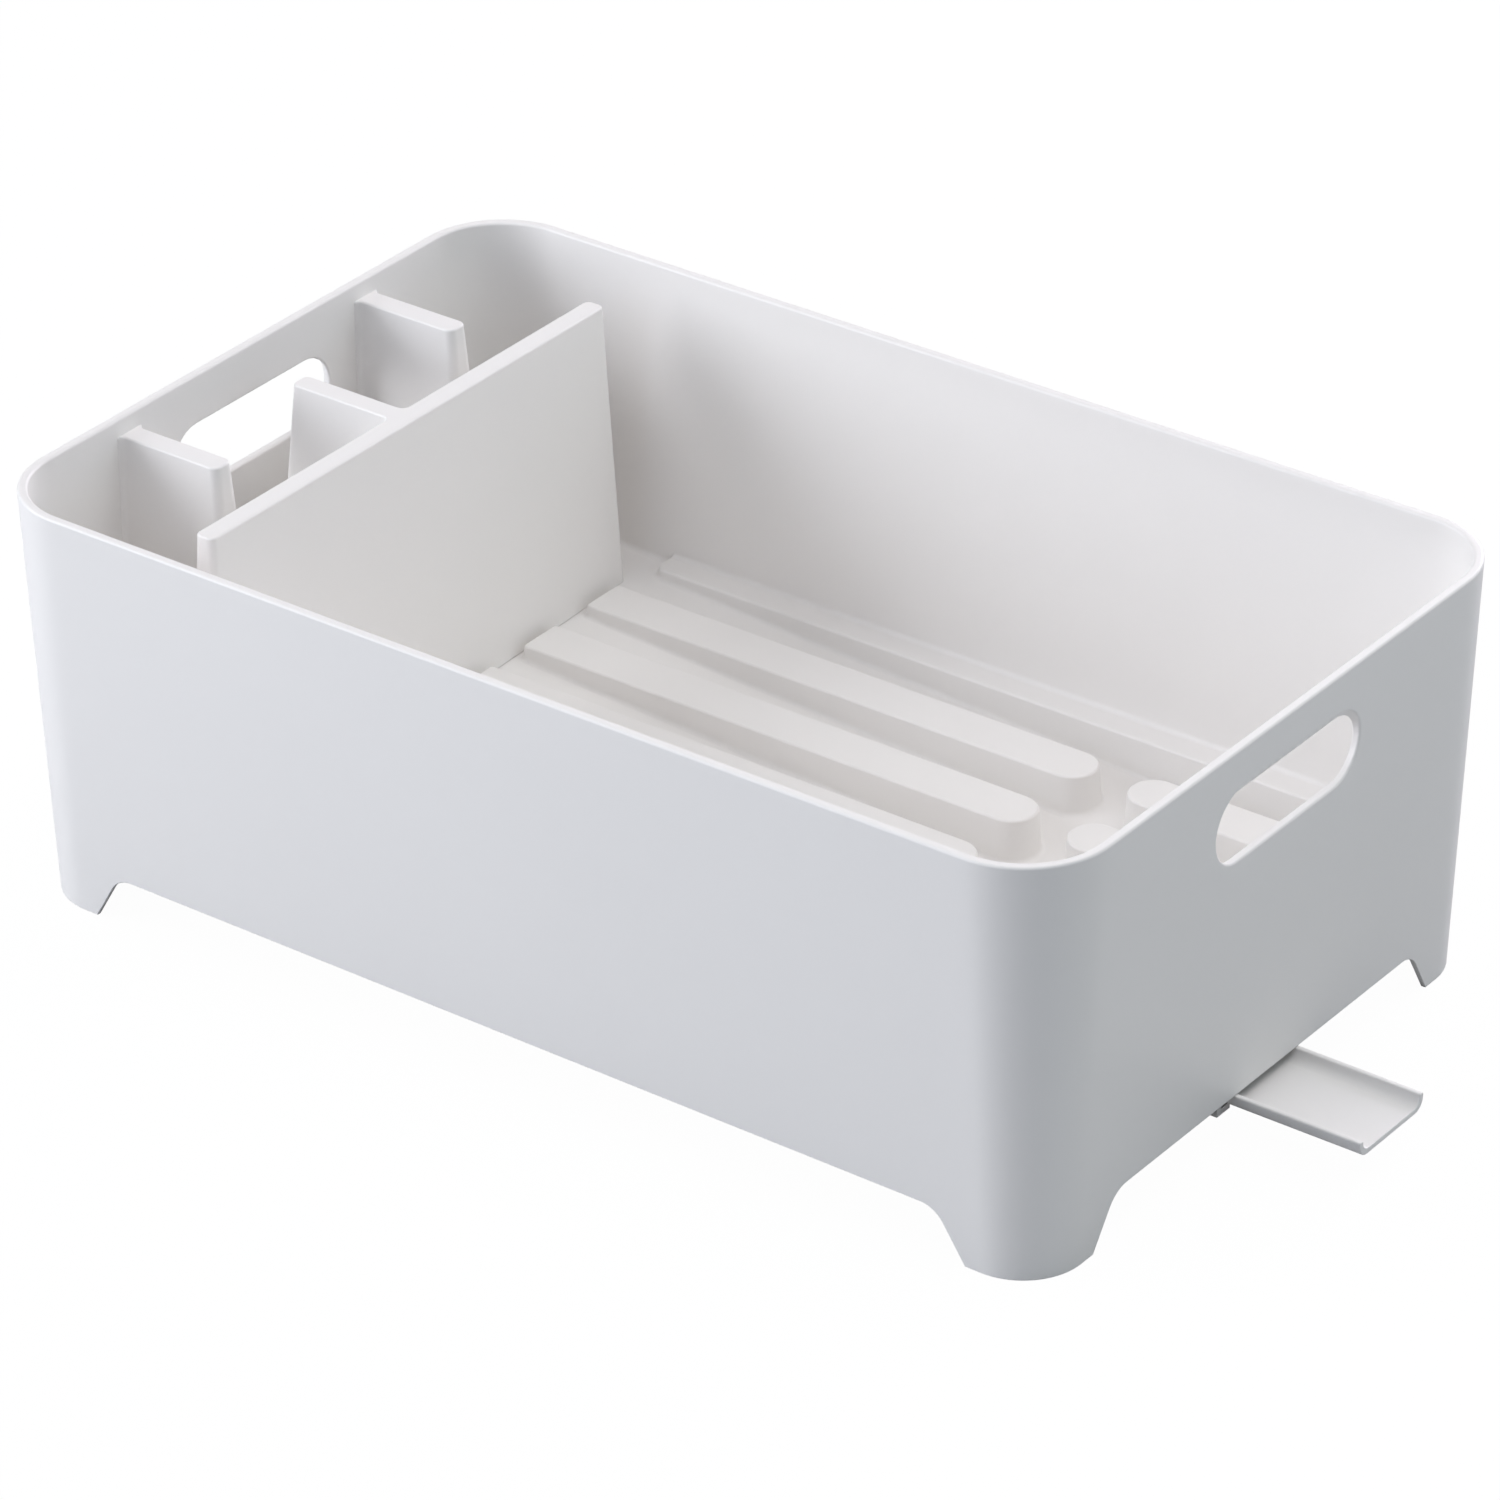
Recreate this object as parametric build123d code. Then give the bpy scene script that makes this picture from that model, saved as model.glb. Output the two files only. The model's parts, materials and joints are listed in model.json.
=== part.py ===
from build123d import *
import math
import os

# Dish drying rack: a drafted basket with a ribbed, sloping floor, a lift-out utensil divider
# and a drain spout that slides out under the end wall.
# Millimetres. +X points to the spout end, +Y to the back, +Z up.
# Every dimension is taken from the centre of the basket's footprint on the counter. The export moves
# the whole rack so that the origin is the middle of its length with the spout out.

# Basket walls
RIM_LENGTH = 415.0
RIM_WIDTH = 260.0
RIM_HEIGHT = 149.0
END_WALL_INSET = 6.3          # how far each end wall leans in by the counter
SIDE_WALL_INSET = 7.5         # the same for the front and back walls
RIM_CORNER_RADIUS = 30.8
BASE_CORNER_RADIUS = 22.0
RIM_WALL = 3.4                # wall thickness at the rim
BASE_WALL = 2.0               # wall thickness at the counter
RIM_ROUNDING = 1.0
SKIN = 2.4                    # thickness of the floor and of every hollow feature

# Skirt and feet
SKIRT_EDGE_HEIGHT = 17.9
FOOT_EDGE_X = 173.5           # where the cut-out of the long walls meets the counter
FOOT_EDGE_Y = 94.4            # the same on the end walls
FOOT_LEAN = 31.0              # degrees that a foot's side leans from upright
FOOT_BLEND_RADIUS = 10.0
SKIRT_CUT_MARGIN = 0.8        # how far the cut-outs reach in past the walls

# Handle holes, one in each end wall
HANDLE_WIDTH = 79.4
HANDLE_BOTTOM = 108.2
HANDLE_TOP_OUTSIDE = 134.3
HANDLE_TOP_INSIDE = 131.6
HANDLE_CUT_X = (200.0, 212.0)

# Floor: two slopes that fall to a drain hole in a cross channel
DRAIN_X = 84.6
DRAIN_LEVEL = 24.2
LONG_FALL = 0.0497            # fall per millimetre from the utensil end to the drain
SHORT_FALL = 0.030            # fall per millimetre from the spout end to the drain
CROSS_FALL = 0.033            # fall per millimetre from the long walls to the middle
DRAIN_RADIUS = 6.5
COLLAR_RADIUS = 8.9
COLLAR_BOTTOM = 18.2

# Ribs that the dishes stand on
RIB_TOP = 41.6
RIB_WIDTH = 17.9
RIB_PITCH = 34.6
RIB_COUNT = 6
RIB_START_X = -125.8
RIB_TIP_X = 77.4
PAD_TIP_X = 91.8
LEDGE_EDGE_Y = 112.0
LEDGE_START_X = -123.0
LEDGE_CORNER_RADIUS = 4.0
RIB_START_RADIUS = 1.5
RIB_HOLLOW_RADIUS = 0.3       # smallest corner radius of the hollow in a rib
ROUND_END_LAND = 0.05         # half of the flat left at the middle of a round end
RIB_DRAFT = 3.0               # degrees
RIB_ROUNDING = 0.9

# Utensil fins on the end wall
FIN_TOP = 142.8
FIN_THICKNESS = 8.5
FIN_Y = 60.5
FIN_TIP_X = -163.6
FIN_DRAFT = 2.7               # degrees, each side
FIN_TIP_DRAFT = 4.5           # degrees, free end
FIN_CORNER_RADIUS = 3.0
FIN_WALL_FLARE = 2.6          # widening where a fin runs into the end wall
FIN_ROUNDING = 0.8

# Lift-out utensil divider, a tee in plan
PLATE_X = -137.55
PLATE_THICKNESS = 7.5
PLATE_HALF_WIDTH = 101.6
PLATE_END_DRAFT = 1.4         # degrees
SPINE_TIP_X = -182.7
SPINE_THICKNESS = 7.8
SPINE_TIP_DRAFT = 5.0         # degrees
TEE_CORNER_RADIUS = 2.5
TEE_BLEND_RADIUS = 2.6
TEE_ROUNDING = 0.8
SAME_CORNER = 0.01            # two points nearer than this are one corner
DIVIDER_WALL = 2.0
DIVIDER_FOOT_GAP = 0.3        # clearance over the floor

# Drain spout and its rails
SPOUT_TIP_X = 247.5
SPOUT_TAIL_X = 73.2
SPOUT_WIDTH = 36.4
SPOUT_BOTTOM = 11.7
SPOUT_TOP = 17.6
SPOUT_WALL = 2.0
SPOUT_CORNER_RADIUS = 4.5
SPOUT_ROUNDING = 0.6
SPOUT_STOP_TOP = 20.4
SPOUT_STOP_WIDTH = 11.0
RAIL_START_X = 30.0
RAIL_END_X = 197.0
RAIL_WALL = 2.2
RAIL_BOTTOM = 9.2
RAIL_LIP = 5.0
RUNNING_GAP = 0.35

MIDDLE_X = (SPOUT_TIP_X - RIM_LENGTH / 2) / 2   # middle of the overall length with the spout out

REACH = 6.0                   # how far cutting solids pass the faces that they cut
HOLLOW_BASE = 4.0             # height from which hollows are cut upwards


def slope(degrees):
    """Sideways run for each millimetre of height at a draft angle."""
    return math.tan(math.radians(degrees))


def drafted(section, low, high):
    """A solid with straight sides between a section at one height and at another."""
    return loft([section(low), section(high)], ruled=True)


def top_rounded(solid, radius):
    """The solid with the edges of its highest face rounded."""
    return fillet(solid.edges().group_by(Axis.Z)[-1], radius)


def bar_section(low_x, high_x, y, thickness, radius, z):
    """A rounded rectangle along X, centred on y, at height z."""
    return Pos((low_x + high_x) / 2, y, z) * RectangleRounded(high_x - low_x, thickness, radius)


# Basket body

def wall_section(z, inset):
    """The basket's outline at height z, moved in by inset."""
    down = 1 - z / RIM_HEIGHT
    length = RIM_LENGTH - 2 * END_WALL_INSET * down - 2 * inset
    width = RIM_WIDTH - 2 * SIDE_WALL_INSET * down - 2 * inset
    radius = RIM_CORNER_RADIUS + (BASE_CORNER_RADIUS - RIM_CORNER_RADIUS) * down - inset
    return Plane.XY.offset(z) * RectangleRounded(length, width, radius)


def wall_thickness(z):
    """The wall's thickness at height z."""
    return BASE_WALL + (RIM_WALL - BASE_WALL) * z / RIM_HEIGHT


def outer_form():
    """The solid inside the basket's outer faces."""
    return drafted(lambda z: wall_section(z, 0), 0, RIM_HEIGHT)


def inner_form():
    """The solid inside the basket's inner faces, run past both ends."""
    return drafted(lambda z: wall_section(z, wall_thickness(z)), -REACH, RIM_HEIGHT + REACH)


def above_floor(drop=0.0):
    """Everything over the floor's four falls, lowered by drop: a wide pyramid on its tip."""
    height = RIM_HEIGHT * 2
    tip = Vector(DRAIN_X, 0, DRAIN_LEVEL - drop)
    top = tip.Z + height
    corners = [
        Vector(DRAIN_X - height / LONG_FALL, 0, top),
        Vector(DRAIN_X, -height / CROSS_FALL, top),
        Vector(DRAIN_X + height / SHORT_FALL, 0, top),
        Vector(DRAIN_X, height / CROSS_FALL, top),
    ]
    faces = [Face(Wire.make_polygon(corners))]
    for here, there in zip(corners, corners[1:] + corners[:1]):
        faces.append(Face(Wire.make_polygon([tip, here, there])))
    return Solid(Shell(faces))


def rib(low_x, high_x, y, round_end, skin=0.0):
    """A drafted rib along X, round at its high (-1) or low (0) end, or the hollow inside it."""
    def section(z):
        spread = (RIB_TOP - z) * slope(RIB_DRAFT) - skin
        half = RIB_WIDTH / 2 + spread
        length = high_x - low_x + 2 * spread
        square_end = -1 if round_end == 0 else 0
        corner_radius = max(RIB_START_RADIUS + spread, RIB_HOLLOW_RADIUS)
        face = Pos((low_x + high_x) / 2, y, z) * Rectangle(length, 2 * half)
        face = fillet(face.vertices().group_by(Axis.X)[round_end], half - ROUND_END_LAND)
        return fillet(face.vertices().group_by(Axis.X)[square_end], corner_radius)
    solid = drafted(section, HOLLOW_BASE, RIB_TOP - skin)
    return solid if skin else top_rounded(solid, RIB_ROUNDING)


def ledge(side, skin=0.0):
    """The flat strip along a long wall: side is 1 at the back and -1 at the front."""
    def section(z):
        spread = (RIB_TOP - z) * slope(RIB_DRAFT) - skin
        near_y = LEDGE_EDGE_Y - spread
        low_x = LEDGE_START_X - spread
        far_x = RIM_LENGTH / 2 + REACH
        far_y = RIM_WIDTH / 2 + REACH
        middle_y = side * (near_y + far_y) / 2
        return bar_section(low_x, far_x, middle_y, far_y - near_y, LEDGE_CORNER_RADIUS + spread, z)
    solid = drafted(section, HOLLOW_BASE, RIB_TOP - skin)
    return solid if skin else top_rounded(solid, RIB_ROUNDING)


def floor_features(skin=0.0):
    """Every raised feature of the floor, or the hollows under them when skin is given."""
    features = []
    for index in range(RIB_COUNT):
        y = (index - (RIB_COUNT - 1) / 2) * RIB_PITCH
        features.append(rib(RIB_START_X, RIB_TIP_X, y, -1, skin))
        features.append(rib(PAD_TIP_X, RIM_LENGTH / 2 + REACH, y, 0, skin))
    features += [ledge(-1, skin), ledge(1, skin)]
    return features


def wall_fin(side, skin=0.0):
    """A utensil fin that stands out of the end wall, or the hollow inside it."""
    def section(z):
        fall = FIN_TOP - z
        thickness = FIN_THICKNESS + 2 * fall * slope(FIN_DRAFT) - 2 * skin
        tip = FIN_TIP_X + fall * slope(FIN_TIP_DRAFT) - skin
        far_x = -RIM_LENGTH / 2 - REACH
        return bar_section(far_x, tip, side * FIN_Y, thickness, FIN_CORNER_RADIUS - skin, z)
    solid = drafted(section, HOLLOW_BASE, FIN_TOP - skin)
    return solid if skin else top_rounded(solid, FIN_ROUNDING)


def fin_flare(side):
    """The widening of a fin where its top runs into the end wall."""
    wall_x = FIN_WALL_FLARE + END_WALL_INSET * (1 - FIN_TOP / RIM_HEIGHT)
    wall_x += wall_thickness(FIN_TOP) - RIM_LENGTH / 2

    def section(z):
        half = FIN_THICKNESS / 2 + (FIN_TOP - z) * slope(FIN_DRAFT)
        growth = FIN_WALL_FLARE + REACH
        wide = half + growth
        far_x = wall_x - growth
        points = [(wall_x, half), (wall_x, -half), (far_x, -wide), (far_x, wide)]
        return Pos(0, side * FIN_Y, z) * make_face(Polyline(*points, close=True))
    return drafted(section, HOLLOW_BASE, FIN_TOP - FIN_ROUNDING)


def handle_hole(side):
    """The cutting solid of a handle hole, lower on the inside; side is 1 at the spout end."""
    outside_x = RIM_LENGTH / 2 - END_WALL_INSET * (1 - HANDLE_TOP_OUTSIDE / RIM_HEIGHT)
    inside_x = outside_x - wall_thickness(HANDLE_TOP_OUTSIDE)
    rise = (HANDLE_TOP_OUTSIDE - HANDLE_TOP_INSIDE) / (outside_x - inside_x)
    sections = []
    for x in HANDLE_CUT_X:
        height = HANDLE_TOP_OUTSIDE + (x - outside_x) * rise - HANDLE_BOTTOM
        frame = Plane(origin=(side * x, 0, HANDLE_BOTTOM + height / 2), x_dir=(0, 1, 0), z_dir=(1, 0, 0))
        sections.append(frame * SlotOverall(HANDLE_WIDTH, height))
    return loft(sections, ruled=True)


def skirt_cut(foot_edge):
    """The cut-out between two feet, as a face with its middle on the origin and x along the wall."""
    top = SKIRT_EDGE_HEIGHT
    top_edge = foot_edge - top * slope(FOOT_LEAN)
    low_edge = foot_edge + REACH * slope(FOOT_LEAN)
    points = [(-low_edge, -REACH), (low_edge, -REACH), (top_edge, top), (-top_edge, top)]
    face = make_face(Polyline(*points, close=True))
    return fillet(face.vertices().group_by(Axis.Y)[-1], FOOT_BLEND_RADIUS)


def skirt_cuts():
    """The four cutting solids that leave a foot at each corner."""
    cuts = []
    for side in (-1, 1):
        long_wall = Plane(origin=(0, side * RIM_WIDTH / 2, 0), x_dir=(-side, 0, 0), z_dir=(0, side, 0))
        end_wall = Plane(origin=(side * RIM_LENGTH / 2, 0, 0), x_dir=(0, side, 0), z_dir=(side, 0, 0))
        walls = ((long_wall, FOOT_EDGE_X, SIDE_WALL_INSET), (end_wall, FOOT_EDGE_Y, END_WALL_INSET))
        for frame, foot_edge, inset in walls:
            face = frame * skirt_cut(foot_edge)
            cuts.append(extrude(face, amount=-inset - BASE_WALL - SKIRT_CUT_MARGIN))
    return cuts


def rails():
    """Two L-shaped rails that hang from the floor and carry the spout."""
    length = RAIL_END_X - RAIL_START_X
    middle_x = (RAIL_START_X + RAIL_END_X) / 2
    inner_y = SPOUT_WIDTH / 2 + RUNNING_GAP
    lip_top = SPOUT_BOTTOM - RUNNING_GAP
    solids = []
    for side in (-1, 1):
        web = Pos(middle_x, side * (inner_y + RAIL_WALL / 2), (RAIL_BOTTOM + RIB_TOP) / 2)
        solids.append(web * Box(length, RAIL_WALL, RIB_TOP - RAIL_BOTTOM))
        lip_y = side * (inner_y + RAIL_WALL - (RAIL_LIP + RAIL_WALL) / 2)
        lip = Pos(middle_x, lip_y, (RAIL_BOTTOM + lip_top) / 2)
        solids.append(lip * Box(length, RAIL_LIP + RAIL_WALL, lip_top - RAIL_BOTTOM))
    return solids


def drain_collar():
    """The short collar under the drain hole."""
    height = DRAIN_LEVEL - COLLAR_BOTTOM
    return Pos(DRAIN_X, 0, COLLAR_BOTTOM + height / 2) * Cylinder(COLLAR_RADIUS, height)


def make_basket():
    """The basket: walls, feet, handle holes, sloping ribbed floor, fins and spout rails."""
    inside = inner_form()
    basket = top_rounded(outer_form() - (inside & above_floor()), RIM_ROUNDING)
    raised = floor_features() + [wall_fin(-1), wall_fin(1), fin_flare(-1), fin_flare(1)]
    basket += [feature & inside for feature in raised]
    hollow = inside - above_floor(SKIN)
    pockets = floor_features(SKIN) + [wall_fin(-1, SKIN), wall_fin(1, SKIN)]
    hollow += [pocket & inside for pocket in pockets]
    basket -= hollow - (rails() + [drain_collar()])
    basket -= skirt_cuts() + [handle_hole(-1), handle_hole(1)]
    return basket - Pos(DRAIN_X, 0, DRAIN_LEVEL) * Cylinder(DRAIN_RADIUS, 4 * REACH)


# Utensil divider

def vertices_at(face, places):
    """The face's vertices that lie at any of these places."""
    found = []
    for vertex in face.vertices():
        if any(math.dist((vertex.X, vertex.Y), place) < SAME_CORNER for place in places):
            found.append(vertex)
    return found


def tee_section(z, skin=0.0):
    """The divider's outline at height z, or that of the hollow inside it."""
    fall = FIN_TOP - z
    half = PLATE_THICKNESS / 2 + fall * slope(FIN_DRAFT) - skin
    half_width = PLATE_HALF_WIDTH + fall * slope(PLATE_END_DRAFT) - skin
    spine = SPINE_THICKNESS / 2 + fall * slope(FIN_DRAFT) - skin
    spine_tip = SPINE_TIP_X - fall * slope(SPINE_TIP_DRAFT) + skin
    left = PLATE_X - half
    right = PLATE_X + half
    corners = [
        (right, -half_width), (right, half_width), (left, half_width), (left, spine),
        (spine_tip, spine), (spine_tip, -spine), (left, -spine), (left, -half_width),
    ]
    face = make_face(Polyline(*corners, close=True))
    inner = [(left, spine), (left, -spine)]
    outer = [corner for corner in corners if corner not in inner]
    face = fillet(vertices_at(face, inner), TEE_BLEND_RADIUS)
    face = fillet(vertices_at(face, outer), TEE_CORNER_RADIUS - skin)
    return Pos(0, 0, z) * face


def make_divider():
    """The hollow tee that splits the utensil end, open underneath."""
    tee = top_rounded(drafted(tee_section, DRAIN_LEVEL, FIN_TOP), TEE_ROUNDING)
    hollow = drafted(lambda z: tee_section(z, DIVIDER_WALL), DRAIN_LEVEL - REACH, FIN_TOP - DIVIDER_WALL)
    return (tee - hollow) & above_floor(-DIVIDER_FOOT_GAP)


# Drain spout

def channel_section(inset):
    """The channel's outline across the spout, moved in by inset and run out at the top if so."""
    half = SPOUT_WIDTH / 2 - inset
    low = SPOUT_BOTTOM + inset
    high = SPOUT_TOP + (REACH if inset else 0)
    points = [(-half, high), (-half, low), (half, low), (half, high)]
    face = make_face(Polyline(*points, close=True))
    face = fillet(face.vertices().group_by(Axis.Y)[0], SPOUT_CORNER_RADIUS - inset / 2)
    return face if inset else fillet(face.vertices().group_by(Axis.Y)[-1], SPOUT_ROUNDING)


def make_spout():
    """A shallow channel, closed at its tail, with a tab that stops it at the drain collar."""
    tail = Plane(origin=(SPOUT_TAIL_X, 0, 0), x_dir=(0, 1, 0), z_dir=(1, 0, 0))
    length = SPOUT_TIP_X - SPOUT_TAIL_X
    spout = extrude(tail * channel_section(0), amount=length)
    spout -= extrude(tail.offset(SPOUT_WALL) * channel_section(SPOUT_WALL), amount=length)
    tab_height = SPOUT_STOP_TOP - SPOUT_BOTTOM - SPOUT_WALL / 2
    tab = Pos(SPOUT_TAIL_X + SPOUT_WALL / 2, 0, SPOUT_STOP_TOP - tab_height / 2)
    return spout + tab * Box(SPOUT_WALL, SPOUT_STOP_WIDTH, tab_height)


os.makedirs("parts", exist_ok=True)
to_origin = Pos(-MIDDLE_X, 0, 0)
export_step(to_origin * make_basket(), "parts/basket.step")
export_step(to_origin * make_divider(), "parts/utensil_divider.step")
export_step(to_origin * make_spout(), "parts/drain_spout.step")
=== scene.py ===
"""Looks of a white moulded dish drying rack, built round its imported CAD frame.

The rack is three mouldings: a deep basket, a lift-out utensil divider and a drain spout.
Lengths are in metres. +X points to the spout end, +Y to the back and +Z up.
"""

from __future__ import annotations

import json
import logging
import math
from dataclasses import dataclass, field
from enum import Enum

import bmesh
import bpy
import numpy as np
from mathutils import Matrix, Vector

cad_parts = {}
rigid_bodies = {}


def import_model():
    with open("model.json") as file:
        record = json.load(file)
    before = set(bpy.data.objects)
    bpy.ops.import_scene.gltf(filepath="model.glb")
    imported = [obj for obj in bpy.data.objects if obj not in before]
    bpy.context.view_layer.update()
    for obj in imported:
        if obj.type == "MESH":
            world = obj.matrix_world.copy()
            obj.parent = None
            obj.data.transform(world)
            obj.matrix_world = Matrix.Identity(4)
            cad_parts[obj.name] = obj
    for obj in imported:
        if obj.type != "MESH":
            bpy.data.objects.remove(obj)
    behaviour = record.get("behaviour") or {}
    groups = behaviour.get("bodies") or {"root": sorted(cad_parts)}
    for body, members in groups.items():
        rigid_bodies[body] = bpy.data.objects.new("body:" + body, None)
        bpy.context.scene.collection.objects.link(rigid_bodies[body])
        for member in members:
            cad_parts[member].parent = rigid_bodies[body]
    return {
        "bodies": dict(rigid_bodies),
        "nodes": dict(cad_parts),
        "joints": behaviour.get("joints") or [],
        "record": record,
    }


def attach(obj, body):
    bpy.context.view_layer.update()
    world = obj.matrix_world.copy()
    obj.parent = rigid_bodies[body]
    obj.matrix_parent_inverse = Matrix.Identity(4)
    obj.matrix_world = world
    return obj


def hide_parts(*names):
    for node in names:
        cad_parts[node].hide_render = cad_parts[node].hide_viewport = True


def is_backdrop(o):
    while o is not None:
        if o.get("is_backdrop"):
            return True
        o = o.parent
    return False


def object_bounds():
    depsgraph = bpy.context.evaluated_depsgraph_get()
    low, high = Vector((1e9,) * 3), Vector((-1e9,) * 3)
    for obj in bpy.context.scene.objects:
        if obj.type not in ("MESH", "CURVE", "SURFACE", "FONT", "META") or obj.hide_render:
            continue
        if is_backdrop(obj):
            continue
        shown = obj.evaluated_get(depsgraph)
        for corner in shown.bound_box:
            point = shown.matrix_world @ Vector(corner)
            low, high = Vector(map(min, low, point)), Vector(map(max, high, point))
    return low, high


MM = 0.001
MIDDLE_X = 20.0   # how far the origin lies from the middle of the basket's footprint, in millimetres
MERGE = 2e-6      # points nearer than this are one point, in metres
LOG = logging.getLogger("dish_rack")

Colour = tuple[float, float, float]
Point = tuple[float, float, float]


# Finishes

def new_socket(
    group: bpy.types.NodeTree, name: str, kind: str, output: bool = False, default: float | None = None
) -> None:
    """Adds one named socket to a node group.

    Args:
        group: The node group.
        name: The socket's name.
        kind: Its type, such as Float, Color or Vector.
        output: True for an output, False for an input.
        default: The value an input starts with, for a number.
    """
    side = "OUTPUT" if output else "INPUT"
    socket = group.interface.new_socket(name=name, in_out=side, socket_type=f"NodeSocket{kind}")
    if default is not None:
        socket.default_value = default


class SkinGroup:
    """The shader node group of a moulded polypropylene skin, shared by every finish.

    A slow noise stands for the flow of the melt and shifts colour and roughness a little. A fine
    noise stands for the spark-eroded grain of the mould and gives the height of the surface.
    """

    NAME = "moulded_skin"

    def tree(self) -> bpy.types.NodeTree:
        """Returns the group, and builds it the first time."""
        found = bpy.data.node_groups.get(self.NAME)
        return found if found else self._build()

    def _build(self) -> bpy.types.NodeTree:
        """Builds the group.

        Returns:
            The node group, with Tone, Roughness and Height as outputs.
        """
        group = bpy.data.node_groups.new(self.NAME, "ShaderNodeTree")
        new_socket(group, "Vector", "Vector")
        new_socket(group, "Light Tone", "Color")
        new_socket(group, "Deep Tone", "Color")
        new_socket(group, "Flow Scale", "Float", default=9.0)
        new_socket(group, "Grain Scale", "Float", default=2600.0)
        new_socket(group, "Roughness Low", "Float", default=0.38)
        new_socket(group, "Roughness High", "Float", default=0.46)
        new_socket(group, "Tone", "Color", output=True)
        new_socket(group, "Roughness", "Float", output=True)
        new_socket(group, "Height", "Float", output=True)
        node = group.nodes.new
        link = group.links.new
        taken = node("NodeGroupInput")
        given = node("NodeGroupOutput")

        flow = node("ShaderNodeTexNoise")
        flow.inputs["Detail"].default_value = 3.0
        flow.inputs["Roughness"].default_value = 0.45
        flow.inputs["Distortion"].default_value = 0.6
        link(taken.outputs["Vector"], flow.inputs["Vector"])
        link(taken.outputs["Flow Scale"], flow.inputs["Scale"])

        tone = node("ShaderNodeMix")
        tone.data_type = "RGBA"
        link(flow.outputs["Fac"], tone.inputs["Factor"])
        link(taken.outputs["Light Tone"], tone.inputs["A"])
        link(taken.outputs["Deep Tone"], tone.inputs["B"])
        link(tone.outputs["Result"], given.inputs["Tone"])

        grain = node("ShaderNodeTexNoise")
        grain.inputs["Detail"].default_value = 2.0
        grain.inputs["Roughness"].default_value = 0.6
        link(taken.outputs["Vector"], grain.inputs["Vector"])
        link(taken.outputs["Grain Scale"], grain.inputs["Scale"])

        satin = node("ShaderNodeMapRange")
        link(flow.outputs["Fac"], satin.inputs["Value"])
        link(taken.outputs["Roughness Low"], satin.inputs["To Min"])
        link(taken.outputs["Roughness High"], satin.inputs["To Max"])
        link(satin.outputs["Result"], given.inputs["Roughness"])

        swell = node("ShaderNodeMath")
        swell.operation = "MULTIPLY_ADD"
        swell.inputs[1].default_value = 0.35
        link(flow.outputs["Fac"], swell.inputs[0])
        link(grain.outputs["Fac"], swell.inputs[2])
        link(swell.outputs["Value"], given.inputs["Height"])
        return group


@dataclass(frozen=True)
class MouldedPlastic:
    """A satin polypropylene finish.

    Attributes:
        name: The material's name.
        light_tone: Colour where the melt is clearest.
        deep_tone: Colour where it is densest.
        roughness: Lowest and highest roughness over the surface.
        flow_scale: Waves per metre of the slow flow marks.
        grain_scale: Waves per metre of the mould's grain.
        grain_depth: Height of the grain in metres.
        grain_strength: How strongly the grain tilts the surface.
        refraction: Index of refraction of the plastic.
    """

    name: str
    light_tone: Colour
    deep_tone: Colour
    roughness: tuple[float, float] = (0.36, 0.46)
    flow_scale: float = 9.0
    grain_scale: float = 2600.0
    grain_depth: float = 0.00002
    grain_strength: float = 0.35
    refraction: float = 1.49

    def material(self) -> bpy.types.Material:
        """Returns the material, and builds it the first time."""
        found = bpy.data.materials.get(self.name)
        return found if found else self._build()

    def _build(self) -> bpy.types.Material:
        """Builds the material.

        Returns:
            A material that reads object coordinates through the moulded skin group.
        """
        material = bpy.data.materials.new(self.name)
        material.use_nodes = True
        tree = material.node_tree
        tree.nodes.clear()
        place = tree.nodes.new("ShaderNodeTexCoord")
        skin = tree.nodes.new("ShaderNodeGroup")
        skin.node_tree = SkinGroup().tree()
        skin.inputs["Light Tone"].default_value = (*self.light_tone, 1.0)
        skin.inputs["Deep Tone"].default_value = (*self.deep_tone, 1.0)
        skin.inputs["Flow Scale"].default_value = self.flow_scale
        skin.inputs["Grain Scale"].default_value = self.grain_scale
        skin.inputs["Roughness Low"].default_value = self.roughness[0]
        skin.inputs["Roughness High"].default_value = self.roughness[1]
        grain = tree.nodes.new("ShaderNodeBump")
        grain.inputs["Strength"].default_value = self.grain_strength
        grain.inputs["Distance"].default_value = self.grain_depth
        body = tree.nodes.new("ShaderNodeBsdfPrincipled")
        body.inputs["IOR"].default_value = self.refraction
        out = tree.nodes.new("ShaderNodeOutputMaterial")
        link = tree.links.new
        link(place.outputs["Object"], skin.inputs["Vector"])
        link(skin.outputs["Tone"], body.inputs["Base Color"])
        link(skin.outputs["Roughness"], body.inputs["Roughness"])
        link(skin.outputs["Height"], grain.inputs["Height"])
        link(grain.outputs["Normal"], body.inputs["Normal"])
        link(body.outputs["BSDF"], out.inputs["Surface"])
        return material


class Finishes(Enum):
    """The finish of each moulding."""

    BASKET = MouldedPlastic("basket_satin", (0.900, 0.880, 0.856), (0.874, 0.854, 0.830))
    DIVIDER = MouldedPlastic("divider_satin", (0.900, 0.879, 0.853), (0.876, 0.855, 0.829), flow_scale=13.0)
    SPOUT = MouldedPlastic("spout_satin", (0.895, 0.875, 0.850), (0.870, 0.850, 0.826), flow_scale=17.0)


# Studio

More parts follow.
